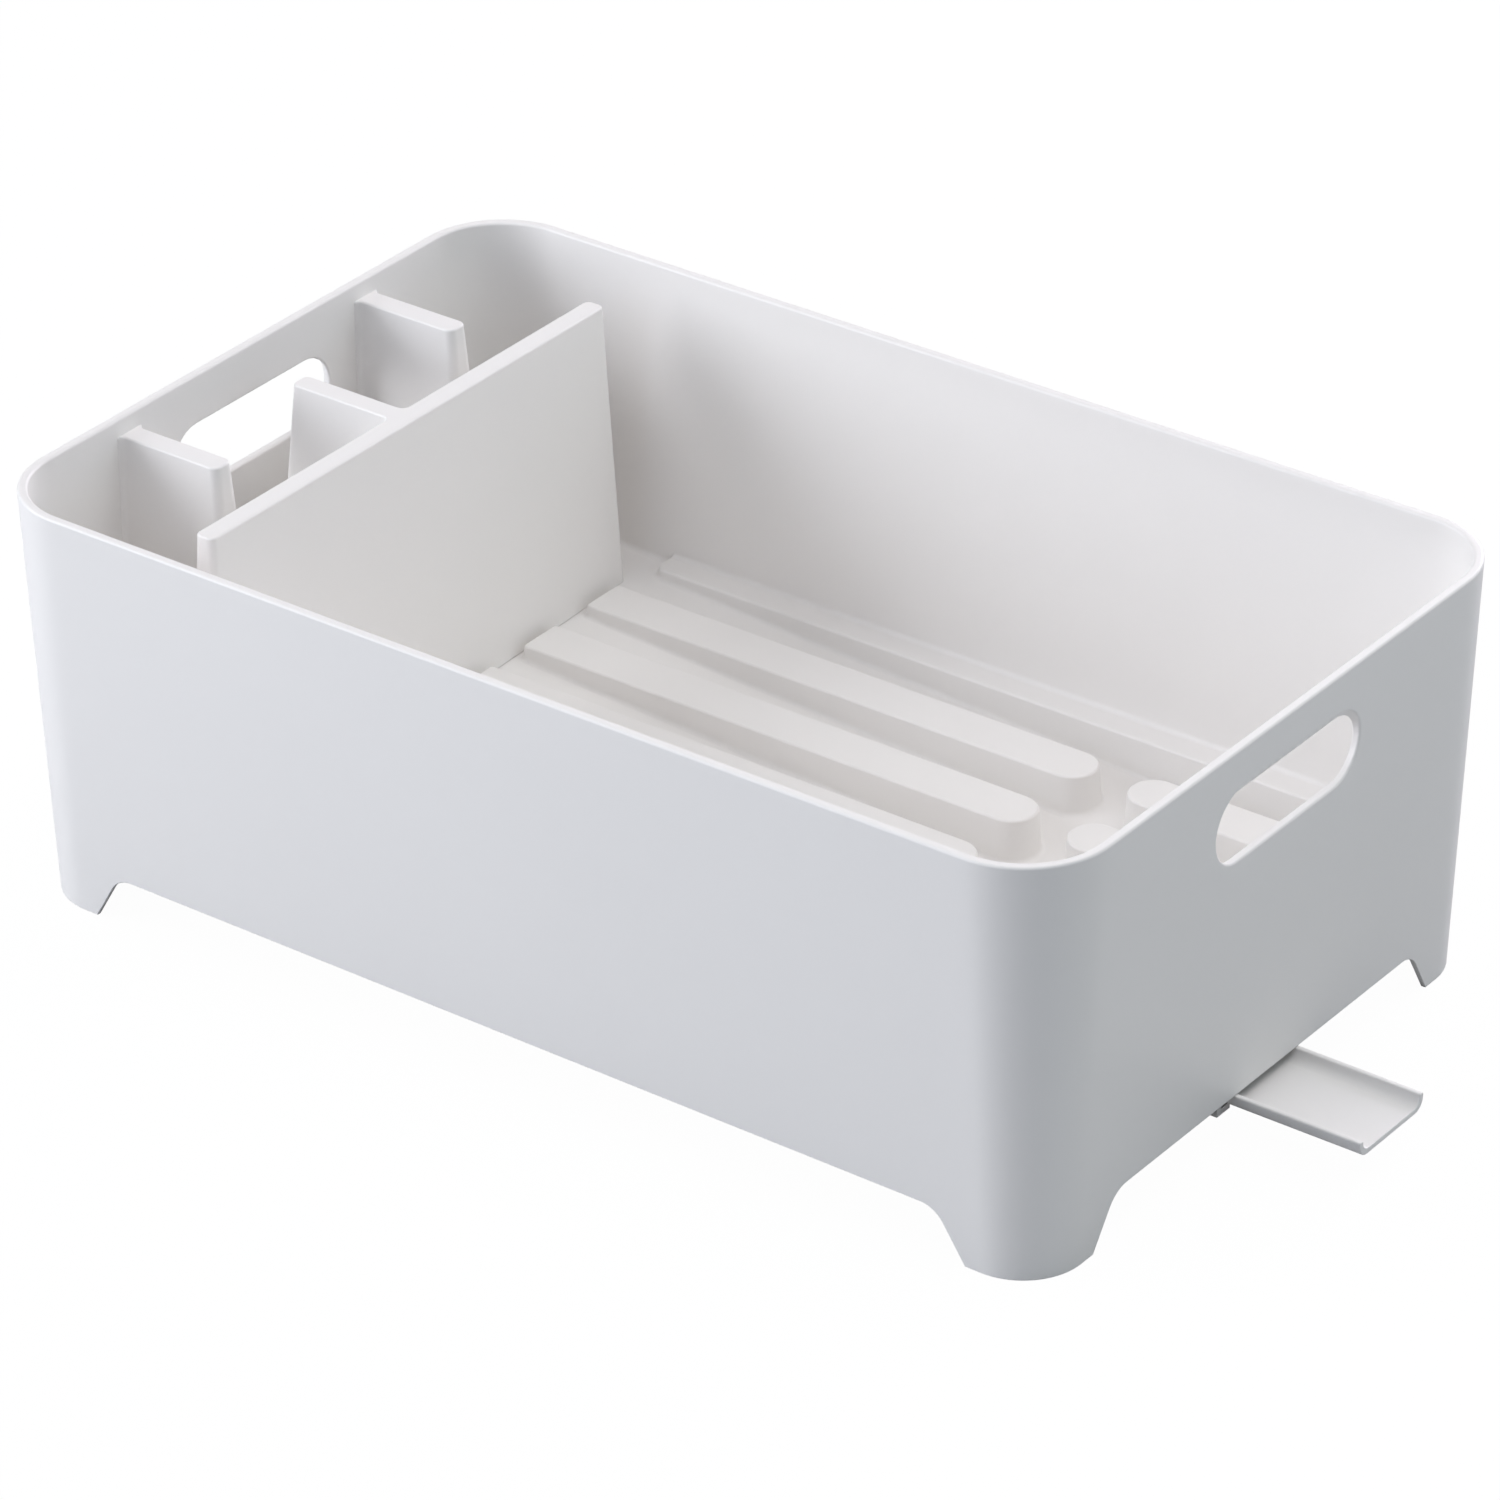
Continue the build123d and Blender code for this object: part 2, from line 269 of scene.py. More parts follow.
@dataclass(frozen=True)
class SoftBox:
    """One rectangular soft light.

    Attributes:
        name: The light's name.
        bearing: Degrees round the object that it shines from, 0 from the front and 90 from +X.
        height: Degrees above the counter that it shines from.
        distance: Metres from the object.
        side: Width of the square light in metres.
        power: Watts.
        colour: Its colour.
    """

    name: str
    bearing: float
    height: float
    distance: float
    side: float
    power: float
    colour: Colour = (1.0, 1.0, 1.0)

    def place(self, target: Vector) -> bpy.types.Object:
        """Hangs the light and turns it to the target.

        Args:
            target: The point that it faces.

        Returns:
            The light object.
        """
        turn, rise = math.radians(self.bearing), math.radians(self.height)
        away = Vector((math.sin(turn) * math.cos(rise), -math.cos(turn) * math.cos(rise), math.sin(rise)))
        lamp = bpy.data.lights.new(self.name, "AREA")
        lamp.shape = "SQUARE"
        lamp.size = self.side
        lamp.energy = self.power
        lamp.color = self.colour
        holder = bpy.data.objects.new(self.name, lamp)
        holder.location = target + away * self.distance
        holder.rotation_euler = (-away).to_track_quat("-Z", "Y").to_euler()
        bpy.context.scene.collection.objects.link(holder)
        return holder


@dataclass
class Studio:
    """The pale floor, the soft lights and the camera."""

    target: Point = (-0.01066, -0.00997, 0.07182)
    azimuth: float = 36.952
    elevation: float = 30.153
    roll: float = -0.507
    distance: float = 2.34266
    lens: float = 175.962
    floor_side: float = 24.0
    floor_albedo: float = 0.55
    sweep_tone: float = 1.02
    sweep_share: float = 0.96
    boxes: list[SoftBox] = field(
        default_factory=lambda: [
            SoftBox("front_left_box", -50.0, 22.0, 2.2, 1.4, 39.0, (0.909, 0.937, 1.000)),
            SoftBox("front_box", 0.0, 22.0, 2.2, 1.4, 6.1, (0.672, 0.801, 1.000)),
            SoftBox("overhead_box", 0.0, 86.0, 2.2, 2.0, 15.8, (1.000, 0.970, 0.989)),
            SoftBox("end_box", 100.0, 22.0, 2.2, 1.4, 5.5, (0.653, 0.884, 1.000)),
            SoftBox("high_back_box", 130.0, 55.0, 2.2, 1.6, 13.7, (1.000, 0.999, 0.996)),
            SoftBox("back_box", 180.0, 22.0, 2.2, 1.4, 33.4, (0.929, 0.897, 1.000)),
            SoftBox("high_right_box", 60.0, 55.0, 2.2, 1.6, 5.0, (0.941, 0.951, 1.000)),
        ]
    )

    def camera(self) -> bpy.types.Object:
        """Sets the camera up.

        Returns:
            The camera object, which looks at the target from azimuth and elevation, rolled a little.
        """
        turn, rise = math.radians(self.azimuth), math.radians(self.elevation)
        ahead = Vector((-math.sin(turn) * math.cos(rise), math.cos(turn) * math.cos(rise), -math.sin(rise)))
        level = ahead.cross(Vector((0, 0, 1))).normalized()
        upright = level.cross(ahead)
        lean = math.radians(self.roll)
        right = level * math.cos(lean) + upright * math.sin(lean)
        up = right.cross(ahead)
        place = Vector(self.target) - ahead * self.distance
        data = bpy.data.cameras.new("camera")
        data.sensor_width = 36.0
        data.lens = self.lens
        data.clip_start, data.clip_end = 0.1, 60.0
        holder = bpy.data.objects.new("camera", data)
        turned = Matrix((right, up, -ahead)).transposed().to_4x4()
        holder.matrix_world = Matrix.Translation(place) @ turned
        bpy.context.scene.collection.objects.link(holder)
        bpy.context.scene.camera = holder
        return holder

    def floor_material(self) -> bpy.types.Material:
        """The pale floor's material: a matt white, which shows as an evenly lit sweep to the eye.

        Returns:
            The material. Seen directly it is its sweep tone with a little of its own shade mixed in,
            and to every other ray it is plain matt paint, so it lights nothing from below.
        """
        material = bpy.data.materials.new("pale_floor")
        material.use_nodes = True
        tree = material.node_tree
        tree.nodes.clear()
        paint = tree.nodes.new("ShaderNodeBsdfDiffuse")
        paint.inputs["Color"].default_value = (self.floor_albedo, self.floor_albedo, self.floor_albedo, 1.0)
        sweep = tree.nodes.new("ShaderNodeEmission")
        sweep.inputs["Color"].default_value = (1.0, 1.0, 1.0, 1.0)
        sweep.inputs["Strength"].default_value = self.sweep_tone
        path = tree.nodes.new("ShaderNodeLightPath")
        share = tree.nodes.new("ShaderNodeMath")
        share.operation = "MULTIPLY"
        share.inputs[1].default_value = self.sweep_share
        mix = tree.nodes.new("ShaderNodeMixShader")
        out = tree.nodes.new("ShaderNodeOutputMaterial")
        link = tree.links.new
        link(path.outputs["Is Camera Ray"], share.inputs[0])
        link(share.outputs["Value"], mix.inputs["Fac"])
        link(paint.outputs["BSDF"], mix.inputs[1])
        link(sweep.outputs["Emission"], mix.inputs[2])
        link(mix.outputs["Shader"], out.inputs["Surface"])
        return material

    def floor(self, height: float) -> bpy.types.Object:
        """Lays a pale floor.

        Args:
            height: The floor's height.

        Returns:
            The floor object.
        """
        half = self.floor_side / 2
        corners = [(x, y, height) for x, y in ((-half, -half), (half, -half), (half, half), (-half, half))]
        mesh = bpy.data.meshes.new("floor")
        mesh.from_pydata(corners, [], [(0, 1, 2, 3)])
        mesh.materials.append(self.floor_material())
        ground = bpy.data.objects.new("floor", mesh)
        bpy.context.scene.collection.objects.link(ground)
        ground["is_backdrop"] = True
        return ground

    def room(self) -> None:
        """Leaves the room round the soft boxes dark."""
        world = bpy.data.worlds.new("room")
        world.use_nodes = True
        world.node_tree.nodes["Background"].inputs["Strength"].default_value = 0.0
        bpy.context.scene.world = world

    def build(self, height: float) -> None:
        """Builds everything round an object that stands at this height."""
        self.camera()
        self.floor(height)
        self.room()
        for box in self.boxes:
            box.place(Vector(self.target))
        bpy.context.scene.view_settings.view_transform = "Standard"


# Surfaces

def run_of(height: np.ndarray | float, degrees: float) -> np.ndarray | float:
    """Returns the sideways run of a drafted side over a height."""
    return height * math.tan(math.radians(degrees))


def quarter(steps: int) -> np.ndarray:
    """Returns angles from 0 to a right angle in even steps."""
    return np.linspace(0.0, math.pi / 2, steps + 1)


def lifted(flat: np.ndarray, z: np.ndarray | float) -> np.ndarray:
    """Returns places of x and y with a height put to each."""
    return np.concatenate([flat, np.broadcast_to(z, flat.shape[:-1])[..., None]], axis=-1)


def blended(low: np.ndarray, high: np.ndarray, share: np.ndarray) -> np.ndarray:
    """Returns points that lie a share of the way from one ring's points to another's."""
    return low + (high - low) * share[:, None]


class Shell:
    """Gathers grids of points and joins them into one closed mesh.

    Points are in millimetres from the middle of the basket's footprint.
    """

    def __init__(self) -> None:
        """Starts with no grids."""
        self.points: list[np.ndarray] = []
        self.faces: list[list[int]] = []
        self.count = 0

    def grid(
        self,
        points: np.ndarray,
        wrap_rows: bool = False,
        wrap_columns: bool = False,
        keep: np.ndarray | None = None,
    ) -> None:
        """Adds one grid of points, joined by four-sided faces.

        Args:
            points: Array of rows by columns by 3.
            wrap_rows: True if the last row joins the first.
            wrap_columns: True if the last column joins the first.
            keep: One truth value for each face, to leave faces out.
        """
        rows, columns = points.shape[:2]
        index = np.arange(rows * columns).reshape(rows, columns) + self.count
        if wrap_rows:
            index = np.concatenate([index, index[:1]], axis=0)
        if wrap_columns:
            index = np.concatenate([index, index[:, :1]], axis=1)
        quads = np.stack([index[:-1, :-1], index[1:, :-1], index[1:, 1:], index[:-1, 1:]], axis=-1)
        self.points.append(points.reshape(-1, 3))
        self.faces += (quads[keep] if keep is not None else quads.reshape(-1, 4)).tolist()
        self.count += rows * columns

    def cap(self, ring: np.ndarray) -> None:
        """Closes a flat ring of points, an array of points by 3, with one face."""
        self.points.append(ring)
        self.faces.append(list(range(self.count, self.count + len(ring))))
        self.count += len(ring)

    def piece(self, name: str, sharp: float = 38.0) -> bpy.types.Object:
        """Makes the object: moves it to the row's frame, merges doubles and sets its shading.

        Args:
            name: The piece's name.
            sharp: Degrees between two faces above which their edge stays crisp.

        Returns:
            The object, smooth but for its crisp edges, with its flat faces kept flat.
        """
        points = (np.concatenate(self.points) - np.array([MIDDLE_X, 0.0, 0.0])) * MM
        mesh = bpy.data.meshes.new(name)
        mesh.from_pydata(points.tolist(), [], self.faces)
        work = bmesh.new()
        work.from_mesh(mesh)
        bmesh.ops.remove_doubles(work, verts=work.verts, dist=MERGE)
        loose = [vertex for vertex in work.verts if not vertex.link_faces]
        bmesh.ops.delete(work, geom=loose, context="VERTS")
        bmesh.ops.recalc_face_normals(work, faces=work.faces)
        open_edges = sum(1 for edge in work.edges if len(edge.link_faces) != 2)
        work.to_mesh(mesh)
        work.free()
        mesh.polygons.foreach_set("use_smooth", np.ones(len(mesh.polygons), bool))
        mesh.set_sharp_from_angle(angle=math.radians(sharp))
        piece = bpy.data.objects.new(name, mesh)
        bpy.context.scene.collection.objects.link(piece)
        even = piece.modifiers.new("even_shading", "WEIGHTED_NORMAL")
        even.keep_sharp = True
        LOG.info("%s: %d faces, %d open or shared edges", name, len(mesh.polygons), open_edges)
        return piece


@dataclass(frozen=True)
class Tub:
    """The drafted, round-cornered form that the walls follow, in millimetres.

    Attributes:
        length: Length at the rim.
        width: Width at the rim.
        height: Height of the rim.
        end_inset: How far the end walls lean in by the counter.
        side_inset: How far the long walls lean in by the counter.
        rim_radius: Corner radius at the rim.
        base_radius: Corner radius at the counter.
        rim_wall: Wall thickness at the rim.
        base_wall: Wall thickness at the counter.
    """

    length: float = 415.0
    width: float = 260.0
    height: float = 149.0
    end_inset: float = 6.3
    side_inset: float = 7.5
    rim_radius: float = 30.8
    base_radius: float = 22.0
    rim_wall: float = 3.4
    base_wall: float = 2.0

    def thickness(self, z: np.ndarray) -> np.ndarray:
        """Returns the wall's thickness at each height."""
        return self.base_wall + (self.rim_wall - self.base_wall) * z / self.height

    def halves(self, z: np.ndarray, inset: np.ndarray) -> tuple[np.ndarray, np.ndarray, np.ndarray]:
        """Returns half length, half width and corner radius at each height, moved in by inset."""
        down = 1 - z / self.height
        return (
            self.length / 2 - self.end_inset * down - inset,
            self.width / 2 - self.side_inset * down - inset,
            self.rim_radius + (self.base_radius - self.rim_radius) * down - inset,
        )

    def held_in(self, flat: np.ndarray, z: float, inset: float) -> np.ndarray:
        """Pulls points that lie outside the outline at one height back onto it.

        A point past a straight part is clamped to it. A point past a corner moves along the line to
        the corner's centre.

        Args:
            flat: Array with a last axis of x and y.
            z: Height of the outline.
            inset: How far the outline is moved in.

        Returns:
            The points, each on or inside the outline.
        """
        half_x, half_y, radius = self.halves(z, inset)
        limit = np.array([half_x, half_y])
        held = np.clip(flat, -limit, limit)
        past = np.abs(held) - (limit - radius)
        reach = np.linalg.norm(np.maximum(past, 0.0), axis=-1)
        outside = (past > 0).all(axis=-1) & (reach > radius)
        scale = np.where(outside, radius / np.maximum(reach, 1e-9), 1.0)[..., None]
        corner = np.sign(held) * (limit - radius + past * scale)
        return np.where(outside[..., None], corner, held)


@dataclass
class BasketWall:
    """The wall all round: skirt, feet, rim and a hand hole in each end, in millimetres."""

    tub: Tub = field(default_factory=Tub)
    skirt_edge: float = 17.9
    foot_x: float = 173.5
    foot_y: float = 94.4
    foot_lean: float = 31.0
    foot_blend: float = 10.0
    rim_rounding: float = 1.0
    foot_rounding: float = 0.45
    hole_half_width: float = 39.7
    hole_bottom: float = 108.2
    hole_top_outside: float = 134.3
    hole_top_inside: float = 131.6
    hole_lip: float = 0.9
    patch_half_width: float = 50.0
    patch_levels: tuple[float, float] = (101.0, 141.0)
    patch_steps: tuple[int, int] = (24, 8)
    corner_steps: int = 18
    patch_blends: tuple[float, ...] = (0.35, 0.7)
    plain_levels: tuple[float, ...] = (25.0, 50.0, 76.0)
    high_level: float = 145.0

    def skirt_marks(self, foot: float) -> tuple[np.ndarray, np.ndarray]:
        """The cut-out's outline on half a wall: from the middle out to the foot's edge.

        The edge is level, then a quarter-like arc of the blend radius, then a straight side that leans.

        Args:
            foot: Distance from the wall's middle to where the cut-out meets the counter.

        Returns:
            Distances from the wall's middle and the edge's height at each.
        """
        rise = math.radians(90.0 - self.foot_lean)
        corner = foot - run_of(self.skirt_edge, self.foot_lean)
        start = corner - self.foot_blend * math.tan(rise / 2)
        turn = np.linspace(math.pi / 2, math.pi / 2 - rise, 8)
        along = np.concatenate([start + self.foot_blend * np.cos(turn), [foot]])
        height = np.concatenate([self.skirt_edge - self.foot_blend * (1 - np.sin(turn)), [0.0]])
        return along, height

    def stations(self) -> tuple[np.ndarray, np.ndarray, np.ndarray, np.ndarray]:
        """Spreads stations round the outline, anticlockwise from the front of the spout end.

        Returns:
            For each station: which wall or corner it is on (0 to 3), its place along a straight wall
            or nan on a corner, its angle, and the height of the wall's lower edge.
        """
        part, along, angle, low = [], [], [], []
        for wall in range(4):
            foot = self.foot_y if wall % 2 == 0 else self.foot_x
            marks, heights = self.skirt_marks(foot)
            if wall % 2 == 0:
                hand = np.linspace(0, self.patch_half_width, self.patch_steps[0] // 2 + 1)
                middle = np.concatenate([hand, np.linspace(self.patch_half_width, marks[0], 5)[1:-1]])
            else:
                middle = np.linspace(0, marks[0], 25)[:-1]
            half = np.concatenate([middle, marks])
            edge = np.concatenate([np.full(len(middle), self.skirt_edge), heights])
            straight = np.concatenate([-half[:0:-1], half])
            turned = wall * math.pi / 2 + quarter(self.corner_steps)
            part.append(np.full(len(straight) + len(turned), wall))
            along.append(np.concatenate([straight, np.full(len(turned), np.nan)]))
            angle.append(np.concatenate([np.full(len(straight), wall * math.pi / 2), turned]))
            low.append(np.concatenate([edge[:0:-1], edge, np.zeros(len(turned))]))
        return tuple(np.concatenate(values) for values in (part, along, angle, low))

    def levels(self) -> np.ndarray:
        """Returns the heights of the wall's rows between its lower edge and its rim."""
        low, high = self.patch_levels
        hand = np.linspace(low, high, self.patch_steps[1] + 1)
        return np.concatenate([self.plain_levels, hand, [self.high_level]])

    def section(self, low: np.ndarray) -> tuple[np.ndarray, np.ndarray]:
        """The wall's closed section at every station: up outside, over the rim, down inside.

        Rounded edges are quarter circles in inset and height. Inside, the inset is the wall's thickness.

        Args:
            low: Height of the lower edge at each station.

        Returns:
            Height and inset, as arrays of section points by stations.
        """
        tub, r, e = self.tub, self.rim_rounding, self.foot_rounding
        arc = quarter(5)
        ones = np.ones_like(low)
        base = tub.thickness(low)
        rows: list[tuple[np.ndarray, np.ndarray]] = []
        for turn in quarter(3):
            rows.append((low + e * (1 - math.cos(turn)), (e * (1 - math.sin(turn))) * ones))
        for level in self.levels():
            rows.append((level * ones, 0 * ones))
        for turn in arc:
            rows.append(((tub.height - r + r * math.sin(turn)) * ones, r * (1 - math.cos(turn)) * ones))
        for turn in arc[::-1]:
            inset = tub.rim_wall - r * (1 - math.cos(turn))
            rows.append(((tub.height - r + r * math.sin(turn)) * ones, inset * ones))
        for level in self.levels()[::-1]:
            rows.append((level * ones, tub.thickness(level) * ones))
        for turn in quarter(3)[::-1]:
            rows.append((low + e * (1 - math.cos(turn)), base - e * (1 - math.sin(turn))))
        return np.stack([row[0] for row in rows]), np.stack([row[1] for row in rows])

    def hole_outline(self, share: np.ndarray, deep: float, grown: float) -> np.ndarray:
        """The hand hole's outline: two straight parts joined by half circles.

        Args:
            share: Places round it as shares of its length, from its +Y end.
            deep: 0 for the outside face, 1 for the inside face.
            grown: How far the outline is moved out.

        Returns:
            Array of y and z.
        """
        top = self.hole_top_outside + (self.hole_top_inside - self.hole_top_outside) * deep
        radius = (top - self.hole_bottom) / 2
        flat = self.hole_half_width - radius
        total = 4 * flat + 2 * math.pi * radius
        place = (share % 1.0) * total
        bend = math.pi * radius / 2
        marks = np.cumsum([0.0, bend, 2 * flat, 2 * bend, 2 * flat, bend])
        leg = np.clip(np.searchsorted(marks, place, side="right") - 1, 0, 4)
        into = place - marks[leg]
        swing = into / radius
        quarter_turns, turning = np.array([0, 1, 1, 3, 3]), np.array([1, 0, 1, 0, 1])
        angle = quarter_turns[leg] * math.pi / 2 + turning[leg] * swing
        ends, running = np.array([1, 1, -1, -1, 1]), np.array([0, -1, 0, 1, 0])
        centre = ends[leg] * flat + running[leg] * into
        reach = radius + grown
        height = self.hole_bottom + radius + reach * np.sin(angle)
        return np.stack([centre + reach * np.cos(angle), height], axis=-1)

    def hand_hole(self, side: int) -> np.ndarray:
        """The ring of wall round a hand hole, through the hole and back on the inside.

        Rows run from a rectangle on the outside face to the rounded lip, through the wall, and out
        to the same rectangle on the inside face. Each point lies at its own inset in the wall.

        Args:
            side: 1 at the spout end, -1 at the utensil end.

        Returns:
            Array of rows by points by 3, closed round the hole.
        """
        across, up = self.patch_steps
        low, high = self.patch_levels
        wide = self.patch_half_width
        y = np.linspace(-wide, wide, across + 1)
        z = np.linspace(low, high, up + 1)
        middle = up // 2
        right = np.stack([np.full(up + 1, wide), z], -1)
        top = np.stack([y[::-1], np.full(across + 1, high)], -1)
        left = np.stack([np.full(up + 1, -wide), z[::-1]], -1)
        bottom = np.stack([y, np.full(across + 1, low)], -1)
        frame = np.concatenate([right[middle:-1], top[:-1], left[:-1], bottom[:-1], right[:middle]])
        step = np.linalg.norm(np.roll(frame, -1, axis=0) - frame, axis=1)
        share = np.concatenate([[0.0], np.cumsum(step)[:-1]]) / step.sum()
        lip = self.hole_lip
        rows, insets = [frame], [np.zeros(len(frame))]
        first = self.hole_outline(share, 0.0, lip)
        for blend in self.patch_blends:
            rows.append(frame * (1 - blend) + first * blend)
            insets.append(np.zeros(len(frame)))
        for turn in quarter(4):
            rows.append(self.hole_outline(share, 0.0, lip * (1 - math.sin(turn))))
            insets.append(np.full(len(frame), lip * (1 - math.cos(turn))))
        for turn in quarter(4)[::-1]:
            row = self.hole_outline(share, 1.0, lip * (1 - math.sin(turn)))
            rows.append(row)
            insets.append(self.tub.thickness(row[:, 1]) - lip * (1 - math.cos(turn)))
        last = self.hole_outline(share, 1.0, lip)
        for blend in (*reversed(self.patch_blends), 0.0):
            row = frame * (1 - blend) + last * blend
            rows.append(row)
            insets.append(self.tub.thickness(row[:, 1]))
        flat, inset = np.stack(rows), np.stack(insets)
        half_x = self.tub.halves(flat[..., 1], inset)[0]
        return np.stack([side * half_x, flat[..., 0], flat[..., 1]], axis=-1)

    def build(self) -> bpy.types.Object:
        """Builds the wall.

        Returns:
            The wall as one closed ring with both hand holes.
        """
        wall, along, angle, low = self.stations()
        z, inset = self.section(low)
        half_x, half_y, radius = self.tub.halves(z, inset)
        sign_x = np.array([1, -1, -1, 1])[wall]
        sign_y = np.array([1, 1, -1, -1])[wall]
        corner = np.isnan(along)
        place = np.where(corner, 0.0, along)
        x = sign_x * (half_x - radius) + radius * np.cos(angle)
        y = sign_y * (half_y - radius) + radius * np.sin(angle)
        forward = np.array([1, -1, -1, 1])[wall]
        straight_x = np.where(wall % 2 == 0, np.where(wall == 0, half_x, -half_x), forward * place)
        straight_y = np.where(wall % 2 == 1, np.where(wall == 1, half_y, -half_y), forward * place)
        points = np.stack([np.where(corner, x, straight_x), np.where(corner, y, straight_y), z], axis=-1)

        mid_y = (points[:, :, 1] + np.roll(points[:, :, 1], -1, axis=1)) / 2
        mid_z = (points[:, :, 2] + np.roll(points[:, :, 2], -1, axis=0)) / 2
        in_hand = (np.abs(mid_y) < self.patch_half_width) & (wall % 2 == 0) & ~corner
        in_hand &= (mid_z > self.patch_levels[0]) & (mid_z < self.patch_levels[1])
        shell = Shell()
        shell.grid(points, wrap_rows=True, wrap_columns=True, keep=~in_hand)
        for side in (-1, 1):
            shell.grid(self.hand_hole(side), wrap_columns=True)
        return shell.piece("basket_wall")

class Side(Enum):
    """The four sides of a form's plan, in order anticlockwise."""

    FRONT = 0
    RIGHT = 1
    BACK = 2
    LEFT = 3


@dataclass(frozen=True)
class Cell:
    """One rectangle of the floor with its grid lines, in millimetres.

    Attributes:
        x: Grid lines across the length, low to high.
        y: Grid lines across the width, low to high.
    """

    x: np.ndarray
    y: np.ndarray

    def share(self) -> np.ndarray:
        """Returns its grid lines along X as shares of its length."""
        return (self.x - self.x[0]) / (self.x[-1] - self.x[0])

    def border(self) -> np.ndarray:
        """Returns the points round the cell, anticlockwise from its front left corner."""
        front = np.stack([self.x, np.full_like(self.x, self.y[0])], -1)
        right = np.stack([np.full_like(self.y, self.x[-1]), self.y], -1)
        back = np.stack([self.x[::-1], np.full_like(self.x, self.y[-1])], -1)
        left = np.stack([np.full_like(self.y, self.x[0]), self.y[::-1]], -1)
        return np.concatenate([front[:-1], right[:-1], back[:-1], left[:-1]])

    def plain(self) -> np.ndarray:
        """Returns the whole grid of the cell as an array with a last axis of x and y."""
        return np.stack(np.meshgrid(self.x, self.y, indexing="ij"), -1)


SIDE_NORMALS = np.array([(0.0, -1.0), (1.0, 0.0), (0.0, 1.0), (-1.0, 0.0)])  # outward, in the order of Side


